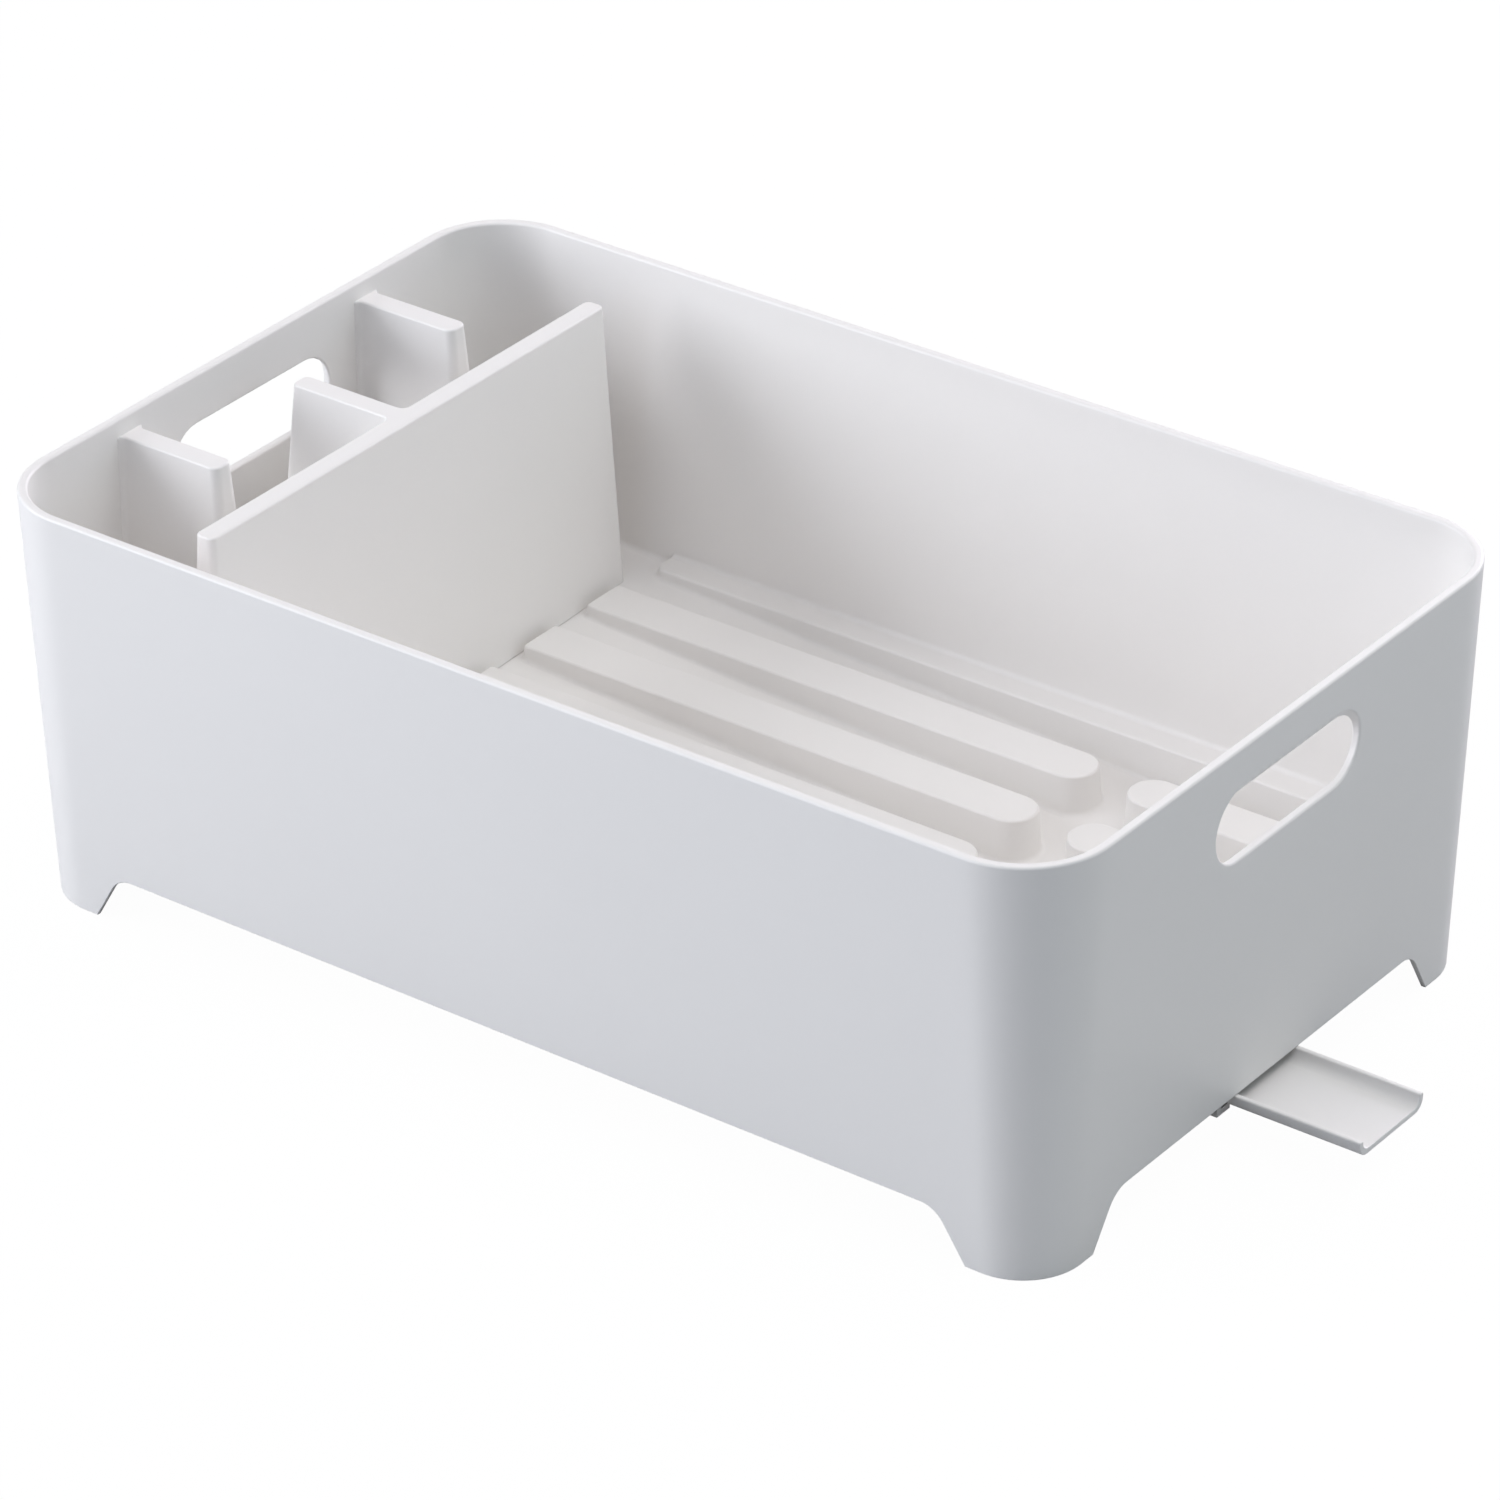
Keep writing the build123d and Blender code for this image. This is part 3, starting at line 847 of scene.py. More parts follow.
@dataclass(frozen=True)
class Form:
    """A raised form on the floor, hollow from below, in millimetres.

    Attributes:
        cell: The rectangle of floor that it stands in.
        low: Lowest x and y of its plan, at its top.
        high: Highest x and y of its plan, at its top.
        radii: Corner radii at its left and right ends.
        buried: Sides that end inside the basket's wall.
        top: Height of its top.
        draft: Degrees that its sides lean.
        rounding: Radius of its top edge.
        foot: Radius of the hollow fillet round its foot.
        least_radius: Smallest corner radius of the hollow inside it.
        end_flat: An end with less flat than this between its corners counts as round.
        corner_steps: Fewest steps round a corner.
    """

    cell: Cell
    low: tuple[float, float]
    high: tuple[float, float]
    radii: tuple[float, float]
    buried: frozenset[Side] = frozenset()
    top: float = 41.6
    draft: float = 3.0
    rounding: float = 0.9
    foot: float = 1.6
    least_radius: float = 0.3
    end_flat: float = 0.2
    corner_steps: int = 4

    def is_free(self, side: int) -> bool:
        """Returns whether a side, counted round and round, is not buried in the wall."""
        return Side(side % 4) not in self.buried

    def bounds(self, grown: float) -> tuple[np.ndarray, np.ndarray]:
        """Returns the plan's lowest and highest corners with its free sides moved out."""
        move = grown * np.array([self.is_free(side) for side in range(4)])
        return np.array(self.low) - move[[3, 0]], np.array(self.high) + move[[1, 2]]

    def radius_at(self, side: Side, grown: float) -> float:
        """Returns the corner radius of the left or right end with its free sides moved out."""
        radius = self.radii[side is Side.RIGHT]
        return max(radius + grown, self.least_radius) if radius else 0.0

    def directions(self, side: Side, share: np.ndarray) -> np.ndarray:
        """Outward directions along a side.

        A buried side's turn evenly from that of the side before it to that of the side after it, so
        that the outline grows along the wall and not into it.

        Args:
            side: The side.
            share: Places along it, from 0 to 1.

        Returns:
            Array of places by 2.
        """
        if self.is_free(side.value):
            return np.repeat(SIDE_NORMALS[side.value][None], len(share), axis=0)
        before = SIDE_NORMALS[(side.value - 1) % 4] * self.is_free(side.value - 1)
        after = SIDE_NORMALS[(side.value + 1) % 4] * self.is_free(side.value + 1)
        return before * (1 - share)[:, None] + after * share[:, None]

    def long_side(self, side: Side, grown: float) -> tuple[np.ndarray, np.ndarray]:
        """Points along the front or the back, shared out as the cell's border is.

        Args:
            side: The front or the back.
            grown: How far the free sides are moved out.

        Returns:
            Points and outward directions, without the last.
        """
        (low_x, low_y), (high_x, high_y) = self.bounds(grown)
        cuts = [
            self.radius_at(end, grown) if self.is_free(side.value) and self.is_free(end.value) else 0.0
            for end in (Side.LEFT, Side.RIGHT)
        ]
        start, end, y, share = low_x + cuts[0], high_x - cuts[1], low_y, self.cell.share()
        if side is Side.BACK:
            start, end, y, share = end, start, high_y, 1 - share[::-1]
        points = np.stack([start + (end - start) * share, np.full_like(share, y)], -1)
        return points[:-1], self.directions(side, share)[:-1]

    def end_side(self, side: Side, grown: float) -> tuple[np.ndarray, np.ndarray]:
        """Points along the left or right end: a quarter circle, a straight and a quarter circle.

        A corner beside a buried side has no quarter circle, and a buried end is straight.

        Args:
            side: The left or the right.
            grown: How far the free sides are moved out.

        Returns:
            Points and outward directions, without the last.
        """
        (low_x, low_y), (high_x, high_y) = self.bounds(grown)
        radius, steps = self.radius_at(side, grown), len(self.cell.y) - 1
        way, x, first, last = (1, high_x, low_y, high_y) if side is Side.RIGHT else (-1, low_x, high_y, low_y)
        if not self.is_free(side.value):
            share = np.linspace(0, 1, steps + 1)
            points = np.stack([np.full_like(share, x), first + (last - first) * share], -1)
            return points[:-1], self.directions(side, share)[:-1]
        is_round = 2 * radius >= high_y - low_y - self.end_flat
        arc = steps // 2 if is_round else max(self.corner_steps, steps // 5)
        opening = arc if self.is_free(side.value - 1) else 0
        closing = arc if self.is_free(side.value + 1) else 0
        start = first + way * radius if opening else first
        end = last - way * radius if closing else last
        share = np.linspace(0, 1, steps - opening - closing + 1)
        line = np.stack([np.full_like(share, x), start + (end - start) * share], -1)[bool(opening):]
        parts, outs = [line], [self.directions(side, share)[bool(opening):]]
        if opening:
            turn = way * -math.pi / 2 + quarter(opening)
            out = np.stack([np.cos(turn), np.sin(turn)], -1)
            parts.insert(0, np.array([x - way * radius, start]) + radius * out)
            outs.insert(0, out)
        if closing:
            turn = (1 - way) * math.pi / 2 + quarter(closing)[1:]
            out = np.stack([np.cos(turn), np.sin(turn)], -1)
            parts.append(np.array([x - way * radius, end]) + radius * out)
            outs.append(out)
        return np.concatenate(parts)[:-1], np.concatenate(outs)[:-1]

    def plan(self, grown: float = 0.0) -> tuple[np.ndarray, np.ndarray]:
        """The plan's outline, matched point by point to the cell's border, and its outward directions.

        Args:
            grown: How far its free sides are moved out, negative for the hollow inside.

        Returns:
            Points and outward directions, each an array of points by 2.
        """
        sides = (
            self.long_side(Side.FRONT, grown),
            self.end_side(Side.RIGHT, grown),
            self.long_side(Side.BACK, grown),
            self.end_side(Side.LEFT, grown),
        )
        return np.concatenate([points for points, _ in sides]), np.concatenate([out for _, out in sides])

    def spine(self) -> np.ndarray:
        """Returns, for each point round the plan, the point on its middle line that it closes to."""
        half = (self.high[1] - self.low[1]) / 2
        start = self.low[0] + half * self.is_free(Side.LEFT.value)
        end = self.high[0] - half * self.is_free(Side.RIGHT.value)
        share, side = self.cell.share(), np.ones(len(self.cell.y) - 1)
        along = np.concatenate([share[:-1], side, share[:0:-1], 0 * side])
        return np.stack([start + (end - start) * along, np.full(len(along), self.low[1] + half)], -1)


@dataclass
class BasketFloor:
    """The sloping floor with its ribs, pads, ledges and utensil fins, in millimetres."""

    tub: Tub = field(default_factory=Tub)
    drain_x: float = 84.6
    drain_level: float = 24.2
    drain_radius: float = 6.4875
    long_fall: float = 0.0497
    short_fall: float = 0.030
    cross_fall: float = 0.033
    skin: float = 2.4
    rib_count: int = 6
    rib_pitch: float = 34.6
    rib_width: float = 17.9
    rib_start_x: float = -125.8
    rib_tip_x: float = 77.4
    pad_tip_x: float = 91.8
    ledge_start_x: float = -123.0
    ledge_edge_y: float = 112.0
    seam_x: float = -130.0
    end_x: float = 201.5
    end_y: float = 123.0
    fin_y: float = 60.5
    fin_top: float = 142.8
    fin_thickness: float = 8.5
    fin_tip_x: float = -163.6
    fin_draft: float = 2.7
    fin_tip_draft: float = 4.5
    fin_corner: float = 3.0
    fin_flare: float = 2.6
    fin_rounding: float = 0.8
    fin_foot: float = 1.6
    fin_hollow_bite: float = 2.2
    rib_start_radius: float = 1.5
    ledge_radius: float = 4.0
    round_end_land: float = 0.05
    foot_share: float = 0.45
    least_hollow: float = 0.2
    wall_lines: tuple[float, ...] = (0.0, 3.4, 4.0, 4.8, 5.8, 7.2, 9.0)
    ledge_lines: tuple[float, ...] = (106.5, 109.0)
    utensil_steps: int = 12
    rib_steps: int = 40
    pad_steps: int = 22
    outer_steps: int = 8
    row_steps: int = 16
    drain_steps: int = 24
    wall_inset: float = 1.2
    hollow_inset: float = 2.6
    wall_level: float = 35.0

    def height(self, flat: np.ndarray) -> np.ndarray:
        """Returns the floor's height: the drain's level and a fall for each millimetre along and across."""
        away = flat[..., 0] - self.drain_x
        along = np.where(away < 0, -away * self.long_fall, away * self.short_fall)
        return self.drain_level + along + np.abs(flat[..., 1]) * self.cross_fall

    def x_lines(self) -> tuple[np.ndarray, np.ndarray, np.ndarray]:
        """Returns the grid lines along X of the utensil end, the ribs and the pads."""
        step = self.drain_radius / 3
        near = self.drain_x - step * np.arange(3, -1, -1)
        far = self.drain_x + step * np.arange(4)
        by_wall = np.array(self.wall_lines) - self.end_x
        utensil = np.concatenate([by_wall, np.linspace(by_wall[-1], self.seam_x, self.utensil_steps + 1)[1:]])
        ribs = np.concatenate([np.linspace(self.seam_x, near[0], self.rib_steps + 1)[:-1], near])
        pads = np.concatenate([far, np.linspace(far[-1], self.end_x, self.pad_steps + 1)[1:]])
        return utensil, ribs, pads

    def y_lines(self, first: float, last: float) -> np.ndarray:
        """Returns the shared grid lines along Y from one place to another."""
        step = self.rib_pitch / self.row_steps
        return np.arange(round(first / step), round(last / step) + 1) * step

    def outer_lines(self, side: int) -> np.ndarray:
        """Returns the grid lines along Y between the ribs and a long wall, low to high."""
        edge = self.rib_count / 2 * self.rib_pitch
        first, second = self.ledge_lines
        lines = np.concatenate([[edge, first], np.linspace(second, self.end_y, self.outer_steps + 1)])
        return lines if side > 0 else -lines[::-1]

    def forms(self) -> list[Form]:
        """Returns every rib, pad and ledge with its cell."""
        _, ribs, pads = self.x_lines()
        half = self.rib_width / 2
        round_end = half - self.round_end_land
        forms = []
        for index in range(self.rib_count):
            y = (index - (self.rib_count - 1) / 2) * self.rib_pitch
            rows = self.y_lines(y - self.rib_pitch / 2, y + self.rib_pitch / 2)
            low, high = (self.rib_start_x, y - half), (self.rib_tip_x, y + half)
            forms.append(Form(Cell(ribs, rows), low, high, (self.rib_start_radius, round_end)))
            low, high = (self.pad_tip_x, y - half), (self.end_x, y + half)
            forms.append(Form(Cell(pads, rows), low, high, (round_end, 0.0), frozenset({Side.RIGHT})))
        long_lines = np.concatenate([ribs, pads[1:]])
        for side, long_wall in ((-1, Side.FRONT), (1, Side.BACK)):
            cell = Cell(long_lines, self.outer_lines(side))
            near, far = sorted((side * self.ledge_edge_y, side * self.end_y))
            buried = frozenset({long_wall, Side.RIGHT})
            low, high = (self.ledge_start_x, near), (self.end_x, far)
            forms.append(Form(cell, low, high, (self.ledge_radius, 0.0), buried))
        return forms

    def border_of(self, cell: Cell) -> np.ndarray:
        """The cell's border, with the corner at the drain drawn back to the drain hole's circle.

        Border points nearer to the drain than its radius move onto the circle, spread evenly by angle.

        Args:
            cell: The cell.

        Returns:
            Array of points by 2.
        """
        border = cell.border()
        away = border - np.array([self.drain_x, 0.0])
        inside = np.linalg.norm(away, axis=1) < self.drain_radius - 1e-6
        if inside.any():
            step = self.drain_radius / 3
            sides = np.sign(cell.plain().mean(axis=(0, 1)) - np.array([self.drain_x, 0.0]))
            reach = np.abs(away[inside]) / step
            angle = (3 - reach[:, 0] + reach[:, 1]) * (math.pi / 2) / 6
            circle = np.stack([np.cos(angle), np.sin(angle)], -1) * self.drain_radius * sides
            border[inside] = circle + np.array([self.drain_x, 0.0])
        return border

    def on_floor(self, flat: np.ndarray, drop: float, inset: float) -> np.ndarray:
        """Holds points inside the wall and gives them the floor's height, less a drop."""
        held = self.tub.held_in(flat, self.wall_level, inset)
        return lifted(held, self.height(held) - drop)

    def above(self, form: Form) -> np.ndarray:
        """The floor's top face in a form's cell, with the form on it.

        Rows run in from the cell's border: over the floor, up a hollow quarter circle, up the drafted
        side, over a quarter circle and across the flat top to the form's middle line.

        Args:
            form: The form.

        Returns:
            Array of rows by points by 3, closed round the form.
        """
        border = self.border_of(form.cell)
        plan, out = form.plan()
        wall = (self.wall_level, self.wall_inset)
        ground = self.height(self.tub.held_in(plan, *wall))
        spread = run_of(form.top - ground, form.draft)
        foot = np.minimum(form.foot, (form.top - ground) * self.foot_share)
        first = plan + out * (spread + foot)[:, None]
        rows = [self.on_floor(border * (1 - k) + first * k, 0.0, self.wall_inset) for k in (0.0, 0.5)]
        for turn in quarter(4):
            flat = self.tub.held_in(plan + out * (spread + foot * (1 - math.sin(turn)))[:, None], *wall)
            rows.append(lifted(flat, self.height(flat) + foot * (1 - math.cos(turn))))
        for turn in quarter(3):
            flat = self.tub.held_in(plan - out * form.rounding * (1 - math.cos(turn)), *wall)
            rows.append(lifted(flat, form.top - form.rounding * (1 - math.sin(turn))))
        rows.append(lifted(self.tub.held_in(form.spine(), *wall), form.top))
        return np.stack(rows)

    def below(self, form: Form) -> np.ndarray:
        """The floor's underside in a form's cell, with the hollow that goes up inside the form.

        Args:
            form: The form.

        Returns:
            Array of rows by points by 3, closed round the hollow.
        """
        border = self.border_of(form.cell)
        plan, out = form.plan(-self.skin)
        wall = (self.wall_level, self.hollow_inset)
        held = self.tub.held_in(plan, *wall)
        ground, ceiling = self.height(held) - self.skin, form.top - self.skin
        spread = run_of(np.maximum(ceiling - ground, self.least_hollow), form.draft)
        rows = [self.on_floor(border, self.skin, self.wall_inset)]
        rows.append(self.on_floor(plan + out * spread[:, None], self.skin, self.hollow_inset))
        rows.append(lifted(held, np.maximum(ceiling, ground + self.least_hollow)))
        rows.append(lifted(self.tub.held_in(form.spine(), *wall), ceiling))
        return np.stack(rows)

    def fin_plan(
        self, cell: Cell, side: int, z: float, grown: float = 0.0
    ) -> tuple[np.ndarray, np.ndarray, Form]:
        """A fin's outline at one height.

        Near the end wall it widens by R - sqrt(R^2 - (R - d)^2) at a distance d from the wall.

        Args:
            cell: The rectangle of floor that it stands in.
            side: 1 for the back fin, -1 for the front one.
            z: Height.
            grown: How far it is moved out, negative for the hollow inside.

        Returns:
            Points, outward directions and the form that gives them.
        """
        middle_y, fall = side * self.fin_y, self.fin_top - z
        half = self.fin_thickness / 2 + run_of(fall, self.fin_draft)
        tip = self.fin_tip_x + run_of(fall, self.fin_tip_draft)
        wall = self.tub.thickness(z)
        face_x = wall - self.tub.halves(z, 0.0)[0]
        low = (face_x - (self.fin_hollow_bite if grown else wall / 2), middle_y - half)
        high = (tip, middle_y + half)
        form = Form(cell, low, high, (0.0, self.fin_corner), frozenset({Side.LEFT}), top=self.fin_top)
        points, out = form.plan(grown)
        if not grown:
            gap = np.clip(points[:, 0] - face_x, 0.0, self.fin_flare)
            flare = self.fin_flare - np.sqrt(self.fin_flare**2 - (self.fin_flare - gap) ** 2)
            points[:, 1] = middle_y + (points[:, 1] - middle_y) * (1 + flare / half)
        return points, out, form

    def fin(self, cell: Cell, side: int) -> tuple[np.ndarray, np.ndarray]:
        """One utensil fin with the floor round it, and the same from below.

        Its sides, its free end and its wall end lean, so a point's place runs in a straight line from
        its place near the floor to its place at the top.

        Args:
            cell: The rectangle of floor that it stands in.
            side: 1 for the back fin, -1 for the front one.

        Returns:
            Rows from the cell's border up to the fin's middle line, over and under the skin.
        """
        rounding, foot = self.fin_rounding, self.fin_foot
        low_z, high_z = self.drain_level, self.fin_top - rounding
        span = high_z - low_z
        border = self.border_of(cell)
        low, out, _ = self.fin_plan(cell, side, low_z)
        high, _, form = self.fin_plan(cell, side, high_z)
        ground = self.height(low)
        first = blended(low, high, (ground - low_z) / span) + out * foot
        above = [self.on_floor(border * (1 - k) + first * k, 0.0, self.wall_inset) for k in (0.0, 0.3, 0.7)]
        for turn in quarter(4):
            lift = foot * (1 - math.cos(turn))
            flat = blended(low, high, (ground + lift - low_z) / span) + out * foot * (1 - math.sin(turn))
            above.append(lifted(flat, self.height(flat) + lift))
        for share in (0.25, 0.5, 0.75, 1.0):
            z = (ground + foot) * (1 - share) + high_z * share
            above.append(lifted(blended(low, high, (z - low_z) / span), z))
        for turn in quarter(4)[1:]:
            flat = high - out * rounding * (1 - math.cos(turn))
            above.append(lifted(flat, self.fin_top - rounding * (1 - math.sin(turn))))
        above.append(lifted(form.spine(), self.fin_top))

        ceiling = self.fin_top - self.skin
        mouth, _, _ = self.fin_plan(cell, side, low_z, -self.skin)
        roof, _, _ = self.fin_plan(cell, side, ceiling, -self.skin)
        below = [self.on_floor(border, self.skin, self.wall_inset)]
        below.append(lifted(mouth, self.height(mouth) - self.skin))
        below += [lifted(roof, ceiling), lifted(form.spine(), ceiling)]
        return np.stack(above), np.stack(below)

    def build(self) -> bpy.types.Object:
        """Builds the floor.

        Returns:
            One closed skin: every cell over and under, a strip round its edge and one round the drain.
        """
        shell = Shell()
        utensil, ribs, pads = self.x_lines()
        edge, inner = self.rib_count / 2 * self.rib_pitch, self.rib_pitch / 2
        for form in self.forms():
            shell.grid(self.above(form), wrap_columns=True)
            shell.grid(self.below(form), wrap_columns=True)
        plain = [Cell(utensil, self.y_lines(-inner, inner))]
        for side in (-1, 1):
            rows = self.y_lines(inner, edge)
            above, below = self.fin(Cell(utensil, rows if side > 0 else -rows[::-1]), side)
            shell.grid(above, wrap_columns=True)
            shell.grid(below, wrap_columns=True)
            plain.append(Cell(utensil, self.outer_lines(side)))
        for cell in plain:
            for drop in (0.0, self.skin):
                shell.grid(self.on_floor(cell.plain(), drop, self.wall_inset))
        lines_x = (utensil, ribs[1:], pads[1:])
        lines_y = (self.outer_lines(-1), self.y_lines(-edge, edge)[1:], self.outer_lines(1)[1:])
        ring = Cell(np.concatenate(lines_x), np.concatenate(lines_y)).border()
        turn = np.arange(self.drain_steps) * 2 * math.pi / self.drain_steps
        circle = self.drain_radius * np.stack([np.cos(turn), np.sin(turn)], -1) + (self.drain_x, 0.0)
        for loop in (ring, circle):
            strip = np.stack([self.on_floor(loop, drop, self.wall_inset) for drop in (0.0, self.skin)])
            shell.grid(strip, wrap_columns=True)
        return shell.piece("basket_floor")


def rounded(
    corners: np.ndarray, radii: np.ndarray, arc_steps: int, side_steps: int
) -> tuple[np.ndarray, np.ndarray]:
    """A polygon of right angles, anticlockwise, with each corner a quarter circle.

    A corner's circle is centred one radius back along the side before it and one radius on along the
    side after it. Its points lie at the centre plus radius times n(t), or minus on a hollow corner, where
    the outward normal n(t) turns from that of the side before to that of the side after.

    Args:
        corners: Array of corners by 2.
        radii: A radius for each corner.
        arc_steps: Steps in each quarter circle.
        side_steps: Steps in each straight side.

    Returns:
        Points and outward normals, each an array of points by 2.
    """
    ahead = np.roll(corners, -1, axis=0) - corners
    ahead = ahead / np.linalg.norm(ahead, axis=1)[:, None]
    behind = np.roll(ahead, 1, axis=0)
    normal_in = np.stack([behind[:, 1], -behind[:, 0]], -1)
    normal_out = np.stack([ahead[:, 1], -ahead[:, 0]], -1)
    bulge = np.sign(behind[:, 0] * ahead[:, 1] - behind[:, 1] * ahead[:, 0])
    centre = corners + (ahead - behind) * radii[:, None]
    turn = quarter(arc_steps)[None, :, None]
    normals = normal_in[:, None] * np.cos(turn) + normal_out[:, None] * np.sin(turn)
    arcs = centre[:, None] + (bulge * radii)[:, None, None] * normals
    share = np.linspace(0, 1, side_steps + 1)[None, 1:-1, None]
    sides = arcs[:, -1:] * (1 - share) + np.roll(arcs, -1, axis=0)[:, :1] * share
    side_normals = np.repeat(normal_out[:, None], side_steps - 1, axis=1)
    points = np.concatenate([arcs, sides], axis=1).reshape(-1, 2)
    return points, np.concatenate([normals, side_normals], axis=1).reshape(-1, 2)


@dataclass(frozen=True)
class UtensilDivider:
    """The lift-out divider: a hollow tee in plan that narrows upwards, in millimetres."""

    floor: BasketFloor = field(default_factory=BasketFloor)
    plate_x: float = -137.55
    plate_thickness: float = 7.5
    half_width: float = 101.6
    end_draft: float = 1.4
    spine_tip_x: float = -182.7
    spine_thickness: float = 7.8
    tip_draft: float = 5.0
    side_draft: float = 2.7
    corner_radius: float = 2.5
    blend_radius: float = 2.6
    rounding: float = 0.8
    wall: float = 2.0
    top: float = 142.8
    foot_gap: float = 0.3

    def outline(self, z: float, inset: float = 0.0) -> tuple[np.ndarray, np.ndarray]:
        """The tee at one height, moved in by inset.

        Each side stands off its place at the top by the drop times the tangent of its draft.

        Args:
            z: Height.
            inset: How far the outline is moved in.

        Returns:
            Points and outward normals.
        """
        fall = self.top - z
        half = self.plate_thickness / 2 + run_of(fall, self.side_draft) - inset
        wide = self.half_width + run_of(fall, self.end_draft) - inset
        spine = self.spine_thickness / 2 + run_of(fall, self.side_draft) - inset
        tip = self.spine_tip_x - run_of(fall, self.tip_draft) + inset
        left, right = self.plate_x - half, self.plate_x + half
        x = [right, right, left, left, tip, tip, left, left]
        y = [-wide, wide, wide, spine, spine, -spine, -spine, -wide]
        corner, blend = self.corner_radius - inset, self.blend_radius + inset
        radii = np.array([corner, corner, corner, blend, corner, corner, blend, corner])
        return rounded(np.stack([x, y], -1), radii, 6, 12)

    def skin(self, inset: float, rounding: float) -> list[np.ndarray]:
        """Rows of one skin of the tee, from its foot to its top.

        A row's points run in straight lines between the outlines at the drain's level and at the top.
        The foot follows the floor with a small gap.

        Args:
            inset: How far the skin is moved in.
            rounding: Radius of its top edge, 0 for a crisp one.

        Returns:
            Arrays of points by 3.
        """
        low_z, high_z = self.floor.drain_level, self.top - inset - rounding
        low, _ = self.outline(low_z, inset)
        high, out = self.outline(high_z, inset)
        foot = self.floor.height(low) + self.foot_gap
        rows = []
        for share in (0.0, 0.02, 0.3, 0.65, 1.0):
            z = foot * (1 - share) + high_z * share
            rows.append(lifted(blended(low, high, (z - low_z) / (high_z - low_z)), z))
        for turn in quarter(4)[1:] if rounding else []:
            flat = high - out * rounding * (1 - math.cos(turn))
            rows.append(lifted(flat, high_z + rounding * math.sin(turn)))
        return rows

    def build(self) -> bpy.types.Object:
        """Builds the divider.

        Returns:
            A closed shell: the outer skin up, the inner skin up, a strip at the foot and both tops.
        """
        shell = Shell()
        outside, inside = self.skin(0.0, self.rounding), self.skin(self.wall, 0.0)
        shell.grid(np.stack(inside[::-1] + outside), wrap_columns=True)
        shell.cap(outside[-1])
        shell.cap(inside[-1])
        return shell.piece("tee_divider")


@dataclass(frozen=True)
class DrainSpout:
    """The sliding spout: a channel with a closed tail and a stop tab, in millimetres."""

    tail_x: float = 73.2
    tip_x: float = 247.5
    half_width: float = 18.2
    bottom: float = 11.7
    top: float = 17.6
    wall: float = 2.0
    outer_radius: float = 4.5
    inner_radius: float = 3.5
    edge_radius: float = 0.6
    tab_half_width: float = 5.5
    tab_top: float = 20.4
    end_rounding: float = 0.4
    lap: float = 0.02

    def bar(
        self, shell: Shell, outline: tuple[np.ndarray, np.ndarray], start: float, end: float, steps: int
    ) -> None:
        """Carries an outline along X with rounded end edges, and closes both ends.

        Args:
            shell: Where the surface is added.
            outline: Points of y and z, and their outward normals.
            start: X of the first end.
            end: X of the last end.
            steps: Steps along the length.
        """
        points, out = outline
        r = self.end_rounding
        arc = quarter(3)
        along, deep = r * (1 - np.sin(arc)), r * (1 - np.cos(arc))
        middle = np.linspace(start + r, end - r, steps + 1)[1:-1]
        x = np.concatenate([start + along[::-1], middle, end - along])
        inset = np.concatenate([deep[::-1], np.zeros(steps - 1), deep])
        rows = np.empty((len(x), len(points), 3))
        rows[..., 0] = x[:, None]
        rows[..., 1:] = points - out * inset[:, None, None]
        shell.grid(rows, wrap_columns=True)
        shell.cap(rows[0])
        shell.cap(rows[-1])

    def build(self) -> bpy.types.Object:
        """Builds the spout: the channel, and the tail plate with its tab that closes it."""
        w, b, t = self.half_width, self.bottom, self.top
        n, f = w - self.wall, b + self.wall
        edge, outer, inner = self.edge_radius, self.outer_radius, self.inner_radius
        channel = np.array([(-w, t), (-w, b), (w, b), (w, t), (n, t), (n, f), (-n, f), (-n, t)])
        radii = np.array([edge, outer, outer, edge, edge, inner, inner, edge])
        shell = Shell()
        plate_x = self.tail_x + self.wall
        self.bar(shell, rounded(channel, radii, 6, 6), plate_x - self.wall / 2, self.tip_x, 12)
        q, u = self.tab_half_width, self.tab_top
        w, b, t = w - self.lap, b + self.lap, t - self.lap
        tail = np.array([(-w, t), (-w, b), (w, b), (w, t), (q, t), (q, u), (-q, u), (-q, t)])
        radii = np.array([edge, outer, outer, edge, edge, edge, edge, edge])
        self.bar(shell, rounded(tail, radii, 6, 4), self.tail_x, plate_x, 2)
        return shell.piece("channel_spout")


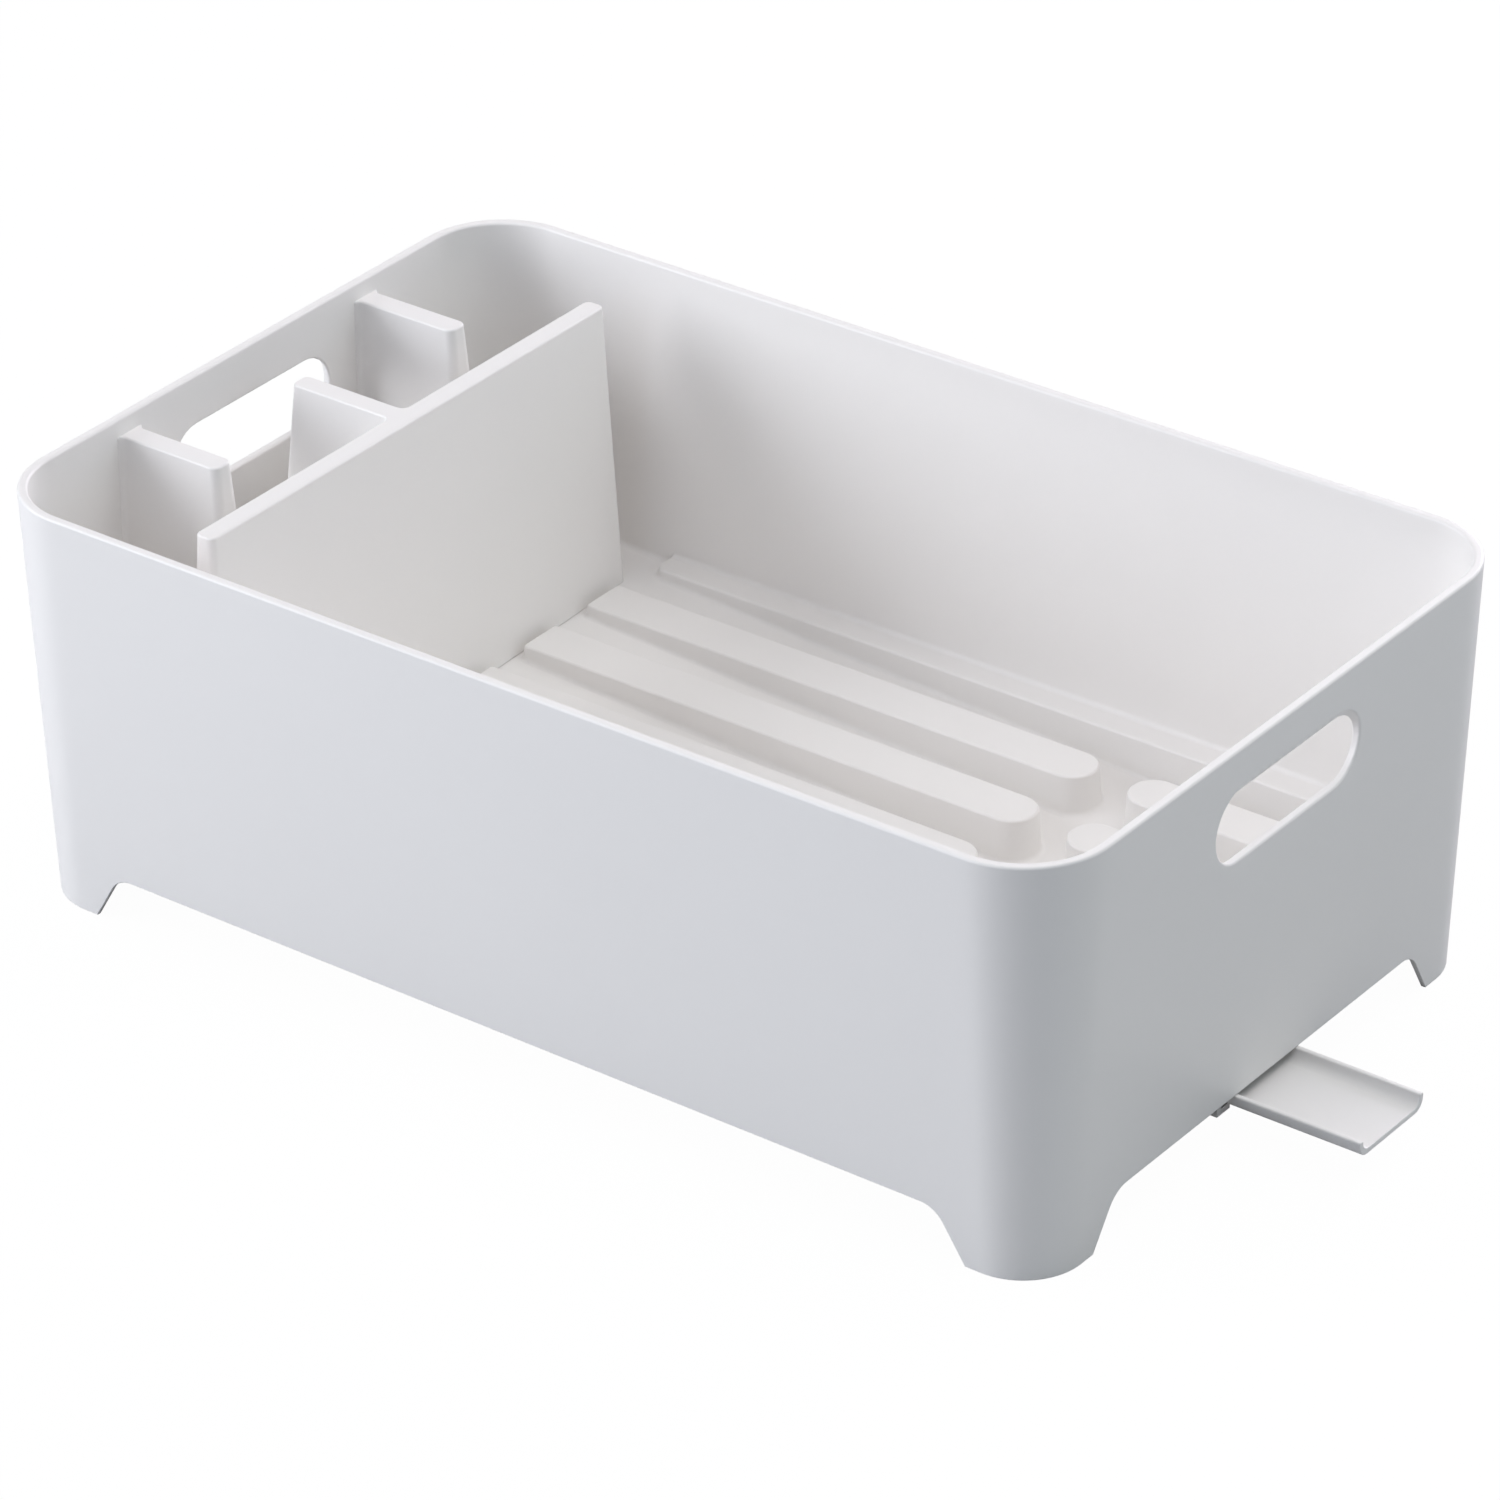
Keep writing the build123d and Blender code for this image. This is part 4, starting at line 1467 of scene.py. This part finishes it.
@dataclass(frozen=True)
class WallCove:
    """The hollow fillet between the walls and the ledges and floor beside them, in millimetres."""

    floor: BasketFloor = field(default_factory=BasketFloor)
    radius: float = 1.7
    bite: float = 0.8
    ledge_top: float = 41.6
    ledge_end_x: float = -122.2
    first_turn: float = 38.0
    long_reach: tuple[float, float] = (170.0, -172.0)
    end_reach: float = 94.0
    step_run: float = 0.05
    ledge_stations: int = 40
    floor_stations: int = 8
    end_stations: int = 30
    near_stations: int = 12
    far_stations: int = 16

    def path(self) -> tuple[np.ndarray, np.ndarray, np.ndarray, np.ndarray]:
        """Stations from one spout-end corner round the utensil end to the other.

        Returns:
            At each station: the direction from its corner's centre, which way its corner or wall lies
            along X and Y (0 along a wall), its place along that wall, and whether a ledge is under it.
        """
        step, right = self.ledge_end_x, math.pi / 2
        start, stop = self.long_reach
        over_ledge = np.linspace(start, step, self.ledge_stations)
        over_floor = np.linspace(step - self.step_run, stop, self.floor_stations)
        long_x = np.concatenate([over_ledge, over_floor])
        end_y = np.linspace(-self.end_reach, self.end_reach, self.end_stations)
        near = np.linspace(-math.radians(self.first_turn), -right, self.near_stations)
        far = np.linspace(-right, -2 * right, self.far_stations)
        straight, raised = np.full_like(long_x, right), long_x >= step
        on, off = np.full(len(near), True), np.full(len(far), False)
        legs = (
            ((1, -1), near, 0 * near, on),
            ((0, -1), -straight, long_x, raised),
            ((-1, -1), far, 0 * far, off),
            ((-1, 0), np.full_like(end_y, 2 * right), end_y, np.full(len(end_y), False)),
            ((-1, 1), -far[::-1], 0 * far, off),
            ((0, 1), straight, long_x[::-1], raised[::-1]),
            ((1, 1), -near[::-1], 0 * near, on),
        )
        ways = np.concatenate([np.tile(np.array(way, float), (len(turn), 1)) for way, turn, _, _ in legs])
        turns, places, ledges = (np.concatenate([leg[column] for leg in legs]) for column in (1, 2, 3))
        return turns, ways, places, ledges

    def placed(
        self, stations: tuple[np.ndarray, np.ndarray, np.ndarray], z: np.ndarray, inset: np.ndarray
    ) -> np.ndarray:
        """Places points on the walls' outline.

        On a corner a point lies at the corner's centre plus its radius in the station's direction.
        Along a wall it lies at the station's place and the wall's distance.

        Args:
            stations: Directions, ways and places, as the path gives them.
            z: Heights, as stations by points.
            inset: How far each point is moved in from the outer face.

        Returns:
            Array of stations by points by 2.
        """
        turn, way, place = stations
        half_x, half_y, corner = self.floor.tub.halves(z, inset)
        limit = way[:, None] * np.stack([half_x, half_y], -1)
        out = np.stack([np.cos(turn), np.sin(turn)], -1)[:, None]
        bend = limit + corner[..., None] * (out - way[:, None])
        wall = np.where(way[:, None] == 0, place[:, None, None], limit)
        return np.where((way == 0).any(axis=-1)[:, None, None], wall, bend)

    def build(self) -> bpy.types.Object:
        """Carries the fillet's section round the path.

        The section's hollow side is a quarter circle that touches the wall at the top and the ledge or
        floor at the bottom. Its back is buried in both.

        Returns:
            The cove, closed at both ends.
        """
        tub, r, bite = self.floor.tub, self.radius, self.bite
        turn, way, place, raised = self.path()
        arc = quarter(6)
        reach = np.concatenate([r * (1 - np.cos(arc)), [r, -bite, -bite]])
        rise = np.concatenate([r * (1 - np.sin(arc)), [-bite, -bite, r]])
        level = np.full((len(turn), len(rise)), self.ledge_top)
        foot = self.placed((turn, way, place), level, tub.thickness(level) + r)
        z = np.where(raised[:, None], self.ledge_top, self.floor.height(foot)) + rise
        ring = lifted(self.placed((turn, way, place), z, tub.thickness(z) + reach), z)
        shell = Shell()
        shell.grid(ring, wrap_columns=True)
        shell.cap(ring[0])
        shell.cap(ring[-1])
        return shell.piece("wall_cove")


@dataclass(frozen=True)
class SpoutRails:
    """The two L-shaped rails under the floor that carry the spout, in millimetres."""

    inner_y: float = 18.55
    outer_y: float = 20.75
    lip_y: float = 13.55
    bottom: float = 9.2
    lip_top: float = 11.35
    high: float = 40.2
    stations: tuple[float, ...] = (30.0, 75.0, 76.6, 92.6, 94.2, 197.0)
    cross_channel: tuple[float, float] = (76.0, 93.0)

    def build(self) -> bpy.types.Object:
        """Carries an L section along X; its top is lower where it runs under the cross channel.

        Returns:
            Both rails as one object.
        """
        shell = Shell()
        x = np.array(self.stations)
        floor = BasketFloor()
        under = floor.height(np.stack([x, np.full_like(x, self.outer_y)], -1)) - floor.skin / 2
        start, end = self.cross_channel
        top = np.where((x > start) & (x < end), under, self.high)
        y = np.array([self.outer_y, self.outer_y, self.lip_y, self.lip_y, self.inner_y, self.inner_y])
        z = np.array([0.0, self.bottom, self.bottom, self.lip_top, self.lip_top, 0.0])
        for side in (-1, 1):
            rail = np.empty((len(x), len(y), 3))
            rail[..., 0], rail[..., 1], rail[..., 2] = x[:, None], side * y, z
            rail[:, (0, -1), 2] = top[:, None]
            shell.grid(rail, wrap_columns=True)
            shell.cap(rail[0])
            shell.cap(rail[-1])
        return shell.piece("spout_rails")


@dataclass(frozen=True)
class DrainCollar:
    """The short collar under the drain hole, in millimetres."""

    x: float = 84.6
    inner: float = 6.6
    outer: float = 8.9
    bottom: float = 18.2
    top: float = 23.1
    rounding: float = 0.4
    turns: int = 48

    def build(self) -> bpy.types.Object:
        """Turns the collar's section round the hole's middle.

        Returns:
            A closed ring with rounded lower edges.
        """
        arc = quarter(3)
        across, up = self.rounding * (1 - np.cos(arc)), self.bottom + self.rounding * (1 - np.sin(arc))
        radius = np.concatenate([[self.outer], self.outer - across, self.inner + across[::-1], [self.inner]])
        height = np.concatenate([[self.top], up, up[::-1], [self.top]])
        turn = np.arange(self.turns) * 2 * math.pi / self.turns
        ring = np.empty((len(radius), self.turns, 3))
        ring[..., 0] = self.x + radius[:, None] * np.cos(turn)
        ring[..., 1] = radius[:, None] * np.sin(turn)
        ring[..., 2] = height[:, None]
        shell = Shell()
        shell.grid(ring, wrap_rows=True, wrap_columns=True)
        return shell.piece("drain_collar")


def dress(node: bpy.types.Object, finish: Finishes) -> None:
    """Gives an object one finish in place of the ones it has."""
    node.data.materials.clear()
    node.data.materials.append(finish.value.material())


def stand_in(piece: bpy.types.Object, finish: Finishes, node: str, body: str) -> None:
    """Dresses a piece and lets it stand for a node of the frame, on that node's body.

    Args:
        piece: The piece.
        finish: Its finish.
        node: The node that it stands for.
        body: The body that it moves with, whose name its material slot starts with.
    """
    dress(piece, finish)
    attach(piece, body)
    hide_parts(node)


def main() -> None:
    """Loads the frame, dresses each moulding and sets the studio up."""
    logging.basicConfig(level=logging.INFO, format="%(name)s: %(message)s")
    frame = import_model()
    cad_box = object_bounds()
    for name, finish in (
        ("basket", Finishes.BASKET),
        ("utensil_divider", Finishes.DIVIDER),
        ("drain_spout", Finishes.SPOUT),
    ):
        dress(frame["nodes"][name], finish)
        LOG.info("dressed %s", name)
    tub = Tub()
    floor = BasketFloor(tub)
    for part in (BasketWall(tub), floor, WallCove(floor), SpoutRails(), DrainCollar()):
        stand_in(part.build(), Finishes.BASKET, "basket", "basket")
    stand_in(UtensilDivider(floor).build(), Finishes.DIVIDER, "utensil_divider", "divider")
    stand_in(DrainSpout().build(), Finishes.SPOUT, "drain_spout", "spout")
    Studio().build(cad_box[0].z)


if __name__ == "__main__":
    main()
